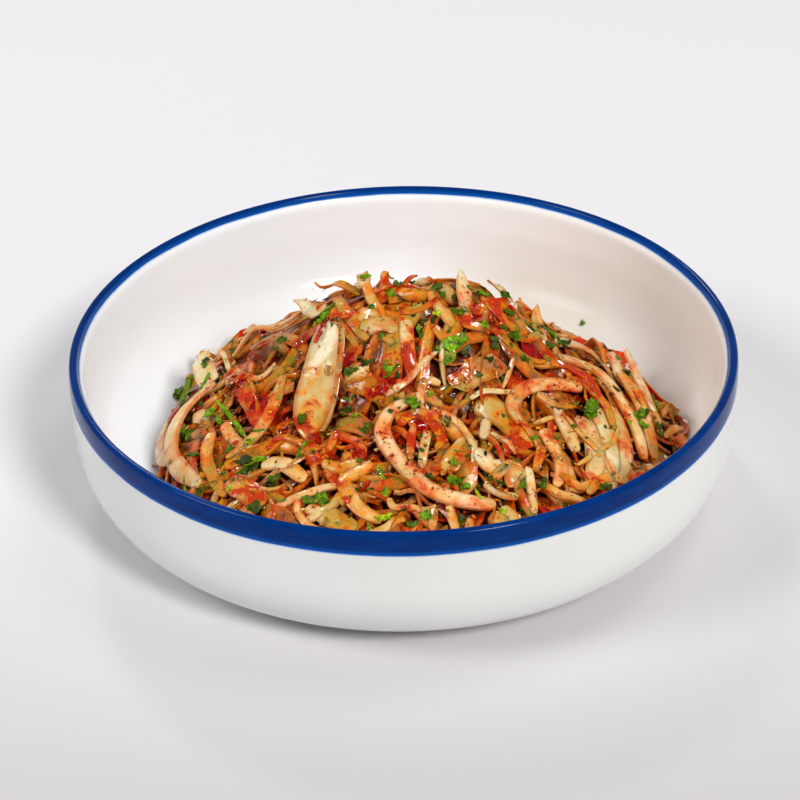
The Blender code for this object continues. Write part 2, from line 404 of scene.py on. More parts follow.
def makeBowl():
    shape = bowlShape
    tube = shape["lipTube"]
    wall = wallRadius - 0.05 * mm  # a hair inside the frame's box
    innerRadius = shape["insideRadius"]
    footOuter = shape["footOuter"]
    footInner = shape["footInner"]
    underside = shape["underside"]
    edge = shape["footEdge"]
    inside = bendPoints(innerRadius, shape["innerBase"], shape["innerBendTop"], shape["floor"],
                        shape["innerSteps"])
    outside = bendPoints(wall, shape["outerBase"], shape["outerBendTop"], underside, shape["outerSteps"])
    centreRadius = lipRadius - tube
    centreZ = rimZ - tube
    lip = []
    for i in range(shape["lipSteps"] + 1):
        turn = math.pi * (1 - i / shape["lipSteps"])
        lip.append((centreRadius + tube * math.cos(turn), centreZ + tube * math.sin(turn)))
    innerWall = [(innerRadius, rimZ - drop * mm) for drop in (12.0, 8.0, 5.5, 4.0)]
    outerWall = [(wall - 0.1 * mm, rimZ - 2.4 * mm), (wall, rimZ - 4.0 * mm), (wall, rimZ - 8.0 * mm)]
    shoulder = [(innerRadius + 0.25 * mm, rimZ - 3.0 * mm), (innerRadius + 0.7 * mm, rimZ - 2.1 * mm)]
    foot = [
        (footOuter + 1.2 * mm, underside), (footOuter + 0.3 * mm, underside - 0.3 * mm),
        (footOuter, underside - 1.1 * mm), (footOuter, edge), (footOuter - 0.2 * mm, edge * 0.3),
        (footOuter - edge, 0.0), (footInner + edge, 0.0), (footInner + 0.2 * mm, edge * 0.3),
        (footInner, edge), (footInner, underside - 0.8 * mm), (footInner - 0.8 * mm, underside),
    ]
    profile = [(0.0, shape["floor"]), *reversed(inside), *innerWall, *shoulder, *lip, *outerWall, *outside,
               *foot, (0.0, underside)]
    bowl = bmesh.new()
    outer = bowl.verts.layers.float_color.new("outer")
    points = [bowl.verts.new((radius, 0.0, height)) for radius, height in profile]
    lipTop = profile.index(max(profile, key=lambda place: place[1]))
    for number, point in enumerate(points):
        point[outer] = (1.0, 1.0, 1.0, 1.0) if number > lipTop else (0.0, 0.0, 0.0, 1.0)
    edges = [bowl.edges.new(pair) for pair in zip(points, points[1:])]
    bmesh.ops.spin(bowl, geom=points + edges, cent=(0, 0, 0), axis=(0, 0, 1), angle=2 * math.pi,
                   steps=shape["turns"], use_merge=True)
    bmesh.ops.remove_doubles(bowl, verts=bowl.verts, dist=0.001 * mm)
    bmesh.ops.recalc_face_normals(bowl, faces=bowl.faces)
    mesh = bpy.data.meshes.new("bowlGlazed")
    bowl.to_mesh(mesh)
    bowl.free()
    mesh.shade_smooth()
    piece = finishPiece("bowlGlazed", mesh, glazedStoneware())
    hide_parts("bowl")


cell = 0.5 * mm  # of the height grids that the strips are laid with
reach = 100.0 * mm
cells = int(round(2 * reach / cell)) + 1


def heightsFrom(obj, fallback):
    # height of a piece's upper side over the grid, by looking straight down on every second cell
    mesh = obj.data
    tree = BVHTree.FromPolygons([v.co for v in mesh.vertices], [p.vertices for p in mesh.polygons])
    coarse = np.full((cells // 2 + 1, cells // 2 + 1), fallback)
    down = Vector((0, 0, -1))
    high = 0.2  # metres, clear of the bowl
    for row in range(coarse.shape[0]):
        for column in range(coarse.shape[1]):
            x, y = column * 2 * cell - reach, row * 2 * cell - reach
            hit = tree.ray_cast(Vector((x, y, high)), down)[0]
            if hit is not None:
                coarse[row, column] = hit.z
    fine = np.empty((cells, cells))
    fine[::2, ::2] = coarse
    fine[1::2, ::2] = (coarse[:-1] + coarse[1:]) / 2
    fine[:, 1::2] = (fine[:, :-1:2] + fine[:, 2::2]) / 2
    return fine


def readGrid(grid, x, y):
    # the grid's value at any places, between its cells
    column = np.clip((np.asarray(x) + reach) / cell, 0, cells - 1.001)
    row = np.clip((np.asarray(y) + reach) / cell, 0, cells - 1.001)
    c, r = column.astype(int), row.astype(int)
    u, v = column - c, row - r
    return ((grid[r, c] * (1 - u) + grid[r, c + 1] * u) * (1 - v)
            + (grid[r + 1, c] * (1 - u) + grid[r + 1, c + 1] * u) * v)


def raiseGrid(grid, x, y, z):
    # raises the cells under some points to the points' height
    column = np.clip(np.rint((x + reach) / cell).astype(int), 0, cells - 1)
    row = np.clip(np.rint((y + reach) / cell).astype(int), 0, cells - 1)
    np.maximum.at(grid, (row, column), z)


def blurGrid(grid, radius, rounds=2):
    # box blur, twice for a soft kernel
    n = max(int(round(radius / cell)), 1)
    for _ in range(rounds):
        for axis in (0, 1):
            padded = np.pad(grid, [(n + 1, n) if a == axis else (0, 0) for a in (0, 1)], mode="edge")
            total = np.cumsum(padded, axis=axis)
            size = grid.shape[axis]
            high = np.take(total, np.arange(2 * n + 1, 2 * n + 1 + size), axis=axis)
            low = np.take(total, np.arange(0, size), axis=axis)
            grid = (high - low) / (2 * n + 1)
    return grid


print("reading the heap's outline")
outline = heightsFrom(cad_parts["salad"], 0.0)  # where the heap's surface should end up
bowlInside = heightsFrom(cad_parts["bowl"], 0.0)
heapMiddle = Vector(((heapLow.x + heapHigh.x) / 2, (heapLow.y + heapHigh.y) / 2))
heapCells = outline > 0
heapSpots = np.nonzero(outline > np.maximum(bowlInside + 5 * mm, 10 * mm))  # for small things, off the edge
topLimit = heapHigh.z - 0.3 * mm
shallow = 8 * mm  # loose strips and short stalks stay where the heap is higher than this
softness = 2.5 * mm  # blur of the heights that slopes are read from


coreShape = {
    "drop": 7.5 * mm,  # below the heap's outline
    "shrink": 0.95,  # of the heap's foot
}


def makeCore():
    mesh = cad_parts["salad"].data.copy()
    core = bmesh.new()
    core.from_mesh(mesh)
    bmesh.ops.remove_doubles(core, verts=core.verts, dist=0.01 * mm)
    for vert in core.verts:
        spot = Vector((vert.co.x, vert.co.y)) - heapMiddle
        spot = heapMiddle + spot * coreShape["shrink"]
        ground = float(readGrid(bowlInside, spot.x, spot.y)) + 0.3 * mm
        if vert.co.z > float(readGrid(bowlInside, vert.co.x, vert.co.y)) + 1.5 * mm:
            top = float(readGrid(outline, spot.x, spot.y)) - coreShape["drop"]
            vert.co = (spot.x, spot.y, max(top, ground + 1.0 * mm))
        else:
            vert.co = (spot.x, spot.y, ground)
    bmesh.ops.recalc_face_normals(core, faces=core.faces)
    core.to_mesh(mesh)
    core.free()
    mesh.name = "saladCore"
    mesh.shade_smooth()
    piece = finishPiece("saladCore", mesh, saladDepth())
    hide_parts("salad")


stripShapes = {
    "loose": {"sides": 6, "rings": 11, "flat": 0.2, "crown": 0.4},  # hundreds of these, so few faces
    "strip": {"sides": 16, "rings": 28, "flat": 0.2, "crown": 0.26},
    "leaf": {"sides": 20, "rings": 22, "flat": 0.3, "crown": 0.14},
    "stalk": {"sides": 7, "rings": 4, "flat": 0.9, "crown": 0.9},
}


def stripTemplate(sides, rings):
    # a round bar along Z, cut into rings: its points are later laid along a strip's route
    bar = bmesh.new()
    bmesh.ops.create_cone(bar, cap_ends=True, segments=sides, radius1=1.0, radius2=1.0, depth=1.0)
    longEdges = [e for e in bar.edges if abs(e.verts[0].co.z - e.verts[1].co.z) > 0.5]
    bmesh.ops.subdivide_edges(bar, edges=longEdges, cuts=rings - 1)
    mesh = bpy.data.meshes.new("template")
    bar.to_mesh(mesh)
    bar.free()
    return mesh


def smoothRoute(points, samples):
    # an even run of places on a smooth curve through a few points
    points = np.asarray(points, float)
    if len(points) < 3:
        points = np.vstack([points[0], points.mean(axis=0), points[-1]])
    padded = np.vstack([2 * points[0] - points[1], points, 2 * points[-1] - points[-2]])
    dense = []
    steps = np.linspace(0, 1, 12, endpoint=False)[:, None]
    for a, b, c, d in zip(padded, padded[1:], padded[2:], padded[3:]):
        dense.append(0.5 * (2 * b + (c - a) * steps + (2 * a - 5 * b + 4 * c - d) * steps**2
                            + (3 * b - a - 3 * c + d) * steps**3))
    dense = np.vstack([*dense, points[-1:]])
    walked = np.concatenate([[0], np.cumsum(np.linalg.norm(np.diff(dense[:, :2], axis=0), axis=1))])
    places = np.linspace(0, walked[-1], samples)
    return np.stack([np.interp(places, walked, column) for column in dense.T], axis=1), walked[-1]


def arcRoute(x, y, heading, length, curvature, growth=0.0, samples=12):
    # places along an arc whose curvature grows or fades along it, centred on x, y
    s = np.linspace(-0.5, 0.5, samples) * length
    angle = heading + curvature * s + 0.5 * growth * s**2
    step = length / (samples - 1)
    px = np.cumsum(np.cos(angle)) * step
    py = np.cumsum(np.sin(angle)) * step
    return np.stack([px - px.mean() + x, py - py.mean() + y], axis=1)


def unit(vectors):
    return vectors / np.maximum(np.linalg.norm(vectors, axis=-1, keepdims=True), 1e-12)


def settle(pile, route, strip):
    # lays one strip on the pile: it rests on what is under it, and can't bend more sharply than onion does
    rings, columns = 22, 7  # places along and across the strip
    path, length = smoothRoute(route, rings)
    lift = path[:, 2] if path.shape[1] > 2 else np.zeros(rings)
    if "kick" in strip:
        toEnd = np.clip(np.abs(np.linspace(-1, 1, rings)) - 0.3, 0, 1) / 0.7
        lift = lift + toEnd**2 * np.where(np.arange(rings) < rings / 2, *strip["kick"])
    path = path[:, :2]
    tangent = unit(np.gradient(path, axis=0))
    slopeX = readGrid(pile["slopeX"], path[:, 0], path[:, 1])
    slopeY = readGrid(pile["slopeY"], path[:, 0], path[:, 1])
    side = np.stack([tangent[:, 1], -tangent[:, 0]], axis=1)
    crossSlope = slopeX * side[:, 0] + slopeY * side[:, 1]
    crossSlope = np.convolve(np.pad(crossSlope, 4, mode="edge"), np.ones(9) / 9, "valid")
    roll = np.arctan(np.clip(crossSlope, -1.2, 1.2)) + strip["roll"]
    roll = roll + strip["twist"] * np.linspace(-0.5, 0.5, rings)
    width = strip["width"] * stripWidth(np.linspace(0, 1, rings), strip)
    halfThick = strip["thick"] / 2
    spread = np.linspace(-0.5, 0.5, columns)
    offsets = spread[None, :] * width[:, None]
    flat = np.cos(roll)[:, None] * offsets
    rise = np.sin(roll)[:, None] * offsets
    x = path[:, 0][:, None] + side[:, 0][:, None] * flat
    y = path[:, 1][:, None] + side[:, 1][:, None] * flat
    bulge = strip["cup"] * strip["width"] * (0.25 - spread**2)[None, :] * 4 * np.cos(roll)[:, None]
    needed = (readGrid(pile["height"], x, y) - rise - bulge).max(axis=1) + halfThick * 0.8
    needed = needed - strip.get("sink", 0.6 * mm)
    z = needed.copy()
    for _ in range(30):
        smooth = z.copy()
        smooth[1:-1] = 0.25 * z[:-2] + 0.5 * z[1:-1] + 0.25 * z[2:]
        smooth[0] = 0.5 * z[0] + 0.5 * (2 * z[1] - z[2])
        smooth[-1] = 0.5 * z[-1] + 0.5 * (2 * z[-2] - z[-3])
        z = np.maximum(needed, smooth * 0.9 + needed * 0.1)
    for _ in range(strip["stiff"]):
        z[1:-1] = 0.25 * z[:-2] + 0.5 * z[1:-1] + 0.25 * z[2:]
    proud = np.maximum(0, z - np.maximum(readGrid(outline, x, y).min(axis=1) + 1.2 * mm, needed + 0.5 * mm))
    z = z - np.convolve(np.pad(proud, 2, mode="edge"), np.ones(5) / 5, "valid") + lift
    top = (z[:, None] + rise + bulge).max(axis=1) + halfThick
    z = z - max(0.0, (top - topLimit).max())
    fine = np.linspace(0, rings - 1, rings * 5)
    index = np.arange(rings)
    fx = np.stack([np.interp(fine, index, x[:, k]) for k in range(columns)], axis=1)
    fy = np.stack([np.interp(fine, index, y[:, k]) for k in range(columns)], axis=1)
    fz = np.stack([np.interp(fine, index, (z[:, None] + rise + bulge)[:, k]) for k in range(columns)], axis=1)
    for k in range(columns - 1):
        for share in (0.0, 0.5):
            raiseGrid(pile["height"], fx[:, k] * (1 - share) + fx[:, k + 1] * share,
                      fy[:, k] * (1 - share) + fy[:, k + 1] * share,
                      fz[:, k] * (1 - share) + fz[:, k + 1] * share + halfThick)
    raiseGrid(pile["height"], fx[:, -1], fy[:, -1], fz[:, -1] + halfThick)
    pile["count"] += 1
    if pile["count"] % pileFill["refresh"] == 0:
        refreshSlopes(pile)
    return {"centre": np.column_stack([path, z]), "side": side, "roll": roll, "length": length}


def refreshSlopes(pile):
    soft = blurGrid(pile["height"], softness)
    pile["slopeY"], pile["slopeX"] = np.gradient(soft, cell)


def stripWidth(s, strip):
    # share of the full width along a strip: blunt or drawn out to a point at either end
    power = strip["taperPower"]
    start = 1 - (1 - np.clip(s / strip["taperOver"], 0, 1)) ** power * strip["startTaper"]
    end = 1 - (1 - np.clip((1 - s) / strip["taperOver"], 0, 1)) ** power * strip["endTaper"]
    ragged = 1 + strip["ragged"] * np.sin(s * strip["waves"] * 9 + strip["phase"] * 3)
    return start * end * ragged


def stripPoints(template, laid, strip):
    # the template's points, moved onto the strip that was laid
    along, turn = template["along"], template["turn"]
    c, s = np.cos(turn), np.sin(turn)
    across = np.sign(c) * np.abs(c) ** template["flat"] * 0.5
    depth = np.sign(s) * np.abs(s) ** template["crown"] * 0.5
    rings = len(laid["roll"])
    span = np.linspace(0, 1, rings)
    skew = strip["skew"] * across * strip["width"] / laid["length"]
    place = np.clip(0.03 + along * 0.94 + skew, 0, 1)

    def follow(values):
        return np.interp(place, span, values)

    centre = np.stack([follow(laid["centre"][:, k]) for k in range(3)], axis=1)
    tangent = unit(np.gradient(laid["centre"], axis=0))
    tangent = unit(np.stack([follow(tangent[:, k]) for k in range(3)], axis=1))
    sideFlat = np.stack([*map(follow, laid["side"].T), np.zeros(len(along))], axis=1)
    up = unit(np.cross(sideFlat, tangent))
    up = np.where(up[:, 2:] < 0, -up, up)
    roll = follow(laid["roll"])[:, None]
    side = unit(sideFlat * np.cos(roll) + up * np.sin(roll))
    normal = unit(np.cross(side, tangent))
    normal = np.where((normal * up).sum(axis=1, keepdims=True) < 0, -normal, normal)
    width = strip["width"] * stripWidth(place, strip)
    roundOver = strip["round"] * strip["width"] / laid["length"]
    fromEnd = np.clip(np.minimum(along, 1 - along) / max(roundOver, 0.01), 0, 1)
    ends = 1 - strip["blunt"] * (1 - np.sqrt(1 - (1 - fromEnd) ** 2))
    wave = strip["wave"] * np.sin(place * strip["waves"] * 2 * np.pi + strip["phase"])
    thick = strip["thick"] * np.sqrt(ends)
    cup = strip["cup"] * width * (0.25 - across**2) * 4
    points = centre + side * (across * width * ends)[:, None] + normal * (depth * thick + cup + wave)[:, None]
    return points, place * laid["length"] / mm, across * width / mm, across * 2


def joinCopies(name, templateMesh, count):
    # one mesh with so many copies of a template in it
    many = bmesh.new()
    for _ in range(count):
        many.from_mesh(templateMesh)
    mesh = bpy.data.meshes.new(name)
    many.to_mesh(mesh)
    many.free()
    return mesh


def writePoints(mesh, points, colours, uv=None, sharp=50):
    # moves the copies' points to their places, with their colours; sharp is in degrees
    mesh.vertices.foreach_set("co", points.astype(np.float32).ravel())
    for name, values in colours.items():
        layer = mesh.color_attributes.new(name, "FLOAT_COLOR", "POINT")
        opaque = np.column_stack([values, np.ones(len(values))])
        layer.data.foreach_set("color", opaque.astype(np.float32).ravel())
    if uv is not None:
        layer = mesh.uv_layers.new(name="strip")
        corner = np.empty(len(mesh.loops), dtype=np.int32)
        mesh.loops.foreach_get("vertex_index", corner)
        layer.uv.foreach_set("vector", uv[corner].astype(np.float32).ravel())
    mesh.update()
    fix = bmesh.new()
    fix.from_mesh(mesh)
    bmesh.ops.recalc_face_normals(fix, faces=fix.faces)
    fix.to_mesh(mesh)
    fix.free()
    mesh.shade_smooth()
    mesh.set_sharp_from_angle(angle=math.radians(sharp))


def strip(width, thick, roll=0.0, twist=0.0, startTaper=0.3, endTaper=0.5, cup=0.1, brown=0.3, stain=0.3,
          kind="strip", skew=0.0, **more):
    # brown and stain are one number, or a pair for a strip's start and end
    made = {
        "kind": kind, "width": width * mm, "thick": thick * mm, "cup": cup, "skew": skew,
        "roll": math.radians(roll), "twist": math.radians(twist),
        "startTaper": startTaper, "endTaper": endTaper,
        "wave": 0.06 * mm, "waves": draws.uniform(1, 3), "phase": draws.uniform(0, fullTurn), "stiff": 12,
        "brown": brown, "stain": stain, "chance": draws.uniform(0, 1), "taperOver": 0.34, "taperPower": 2.0,
        "round": 0.1, "blunt": 0.3, "ragged": 0.04,
    }
    made.update(more)
    return made


def alongStrip(value, share):
    # a value along a strip, which may change from its start to its end
    first, last = value if isinstance(value, tuple) else (value, value)
    return first + (last - first) * share


def randomEnd():
    # how far an end narrows: little where the knife cut it, much where the layer ran out
    return draws.uniform(0.0, 0.25) if draws.uniform() < 0.5 else draws.uniform(0.6, 1.0)


onionSorts = {  # ranges in millimetres; roll and twist, in degrees, and growth are spreads about 0
    "arc": {"share": 0.46, "radius": (6, 18), "length": (1.5, 3.8), "width": (2.0, 4.4), "thick": (0.7, 1.1),
            "roll": 34, "twist": 40, "cup": (-0.2, 0.24), "growth": 12.0},  # an arc's length is in radii
    "ribbon": {"share": 0.12, "radius": (24, 60), "length": (14, 30), "width": (4.2, 7.0),
               "thick": (0.6, 0.9), "roll": 26, "twist": 40, "cup": (-0.24, 0.24)},
    "thread": {"share": 0.3, "radius": (8, 30), "length": (14, 36), "width": (1.2, 2.4), "thick": (0.8, 1.2),
               "roll": 40, "twist": 70, "cup": (-0.1, 0.2), "growth": 60.0},
    "bit": {"share": 0.12, "radius": (8, 40), "length": (5, 12), "width": (2.0, 4.5), "thick": (0.8, 1.3),
            "roll": 40, "twist": 30, "cup": (-0.2, 0.2)},
}


def randomStrip(brown, stained, kick):
    # one of the sorts that a knife makes of an onion, with its route's length, curvature and growth
    name = str(draws.choice(list(onionSorts), p=[sort["share"] for sort in onionSorts.values()]))
    sort = onionSorts[name]
    brown = float(np.clip(draws.normal(brown, 0.26), 0, 1))
    stain = float(np.clip(draws.normal(stained, 0.3), 0, 1))
    bend = draws.choice([-1, 1])
    radius = draws.uniform(*sort["radius"])
    length = draws.uniform(*sort["length"]) * (radius if name == "arc" else 1)
    made = strip(draws.uniform(*sort["width"]), draws.uniform(*sort["thick"]), draws.normal(0, sort["roll"]),
                 draws.normal(0, sort["twist"]), randomEnd(), randomEnd(), draws.uniform(*sort["cup"]),
                 brown, stain)
    growth = draws.normal(0, sort["growth"]) if "growth" in sort else 0.0
    ends = kick * draws.exponential(1.0, 2) * (draws.uniform(0, 1, 2) < 0.4) * mm
    made.update(kind="loose", stiff=4, kick=np.minimum(ends, 5 * mm), skew=draws.normal(0, 0.7), blunt=0.12)
    return made, length * mm, bend / (radius * mm), growth


pileFill = {
    "strips": 900,  # soaked ones that fill the heap, also browner as painted shade of its inner layers
    "topStrips": 330,  # paler ones on top, where no listed strip lies
    "brown": 0.52,  # mean brownness and stain of the soaked ones, and then of the paler ones
    "stained": 0.55,
    "topBrown": 0.24,
    "topStained": 0.38,
    "tries": 14,  # random places looked at for each strip, of which the lowest is taken
    "short": 4.2 * mm,  # how far below the outline the fill stops
    "topShort": 2.6 * mm,
    "crest": 4.0 * mm,  # from here back, the heap is filled less
    "behind": 2.5 * mm,  # by this much at most
    "fade": 12 * mm,  # which is reached over this distance
    "refresh": 12,  # strips laid between two readings of the pile's slopes
    "topKick": 2.0,  # mm by which the ends of the top ones stick up, on average
    "handReach": 7.0 * mm,  # how far from a listed strip the top ones stay
}
fullShadeDepth = 2.8 * mm  # this far below its neighbours, a strip gets its full painted shade and pooled dressing colour


def startPile():
    ground = np.maximum(outline - coreShape["drop"], bowlInside)
    pile = {"height": ground, "count": 0, "laid": []}
    refreshSlopes(pile)
    return pile


def lowestRoute(pile, length, curvature, growth, free=None):
    # of some random routes, the one with the most room under the outline; free is 1 where listed strips lie
    rows, columns = np.nonzero(heapCells)
    best = (0.0, None)
    for _ in range(pileFill["tries"]):
        pick = draws.integers(len(rows))
        x, y = columns[pick] * cell - reach, rows[pick] * cell - reach
        route = arcRoute(x, y, draws.uniform(0, 2 * math.pi), length, curvature, growth)
        inside = readGrid(outline, route[:, 0], route[:, 1])
        taken = free is not None and readGrid(free, route[:, 0], route[:, 1]).mean() > 0.25
        if taken or inside.min() < shallow:
            continue
        behind = np.clip((route[:, 1] - pileFill["crest"]) / pileFill["fade"], 0, 1) * pileFill["behind"]
        room = (inside - behind - readGrid(pile["height"], route[:, 0], route[:, 1])).mean()
        if room > best[0]:
            best = (room, route)
    return best


def fillPile(pile, count, short, brown, stained, kick=0.0, free=None):
    for _ in range(count):
        made, length, curvature, growth = randomStrip(brown, stained, kick)
        room, route = lowestRoute(pile, length, curvature, growth, free)
        if room > short:
            pile["laid"].append((made, settle(pile, route, made)))


def handCover():
    # 1 on the grid near a listed strip, 0 away from them
    cover = np.zeros((cells, cells))
    for route, width, *_ in laidByHand:
        path, _ = smoothRoute([(point[0] * mm, point[1] * mm) for point in route], 60)
        raiseGrid(cover, path[:, 0], path[:, 1], 1.0)
    return np.clip(blurGrid(cover, pileFill["handReach"], rounds=1) * 40, 0, 1)


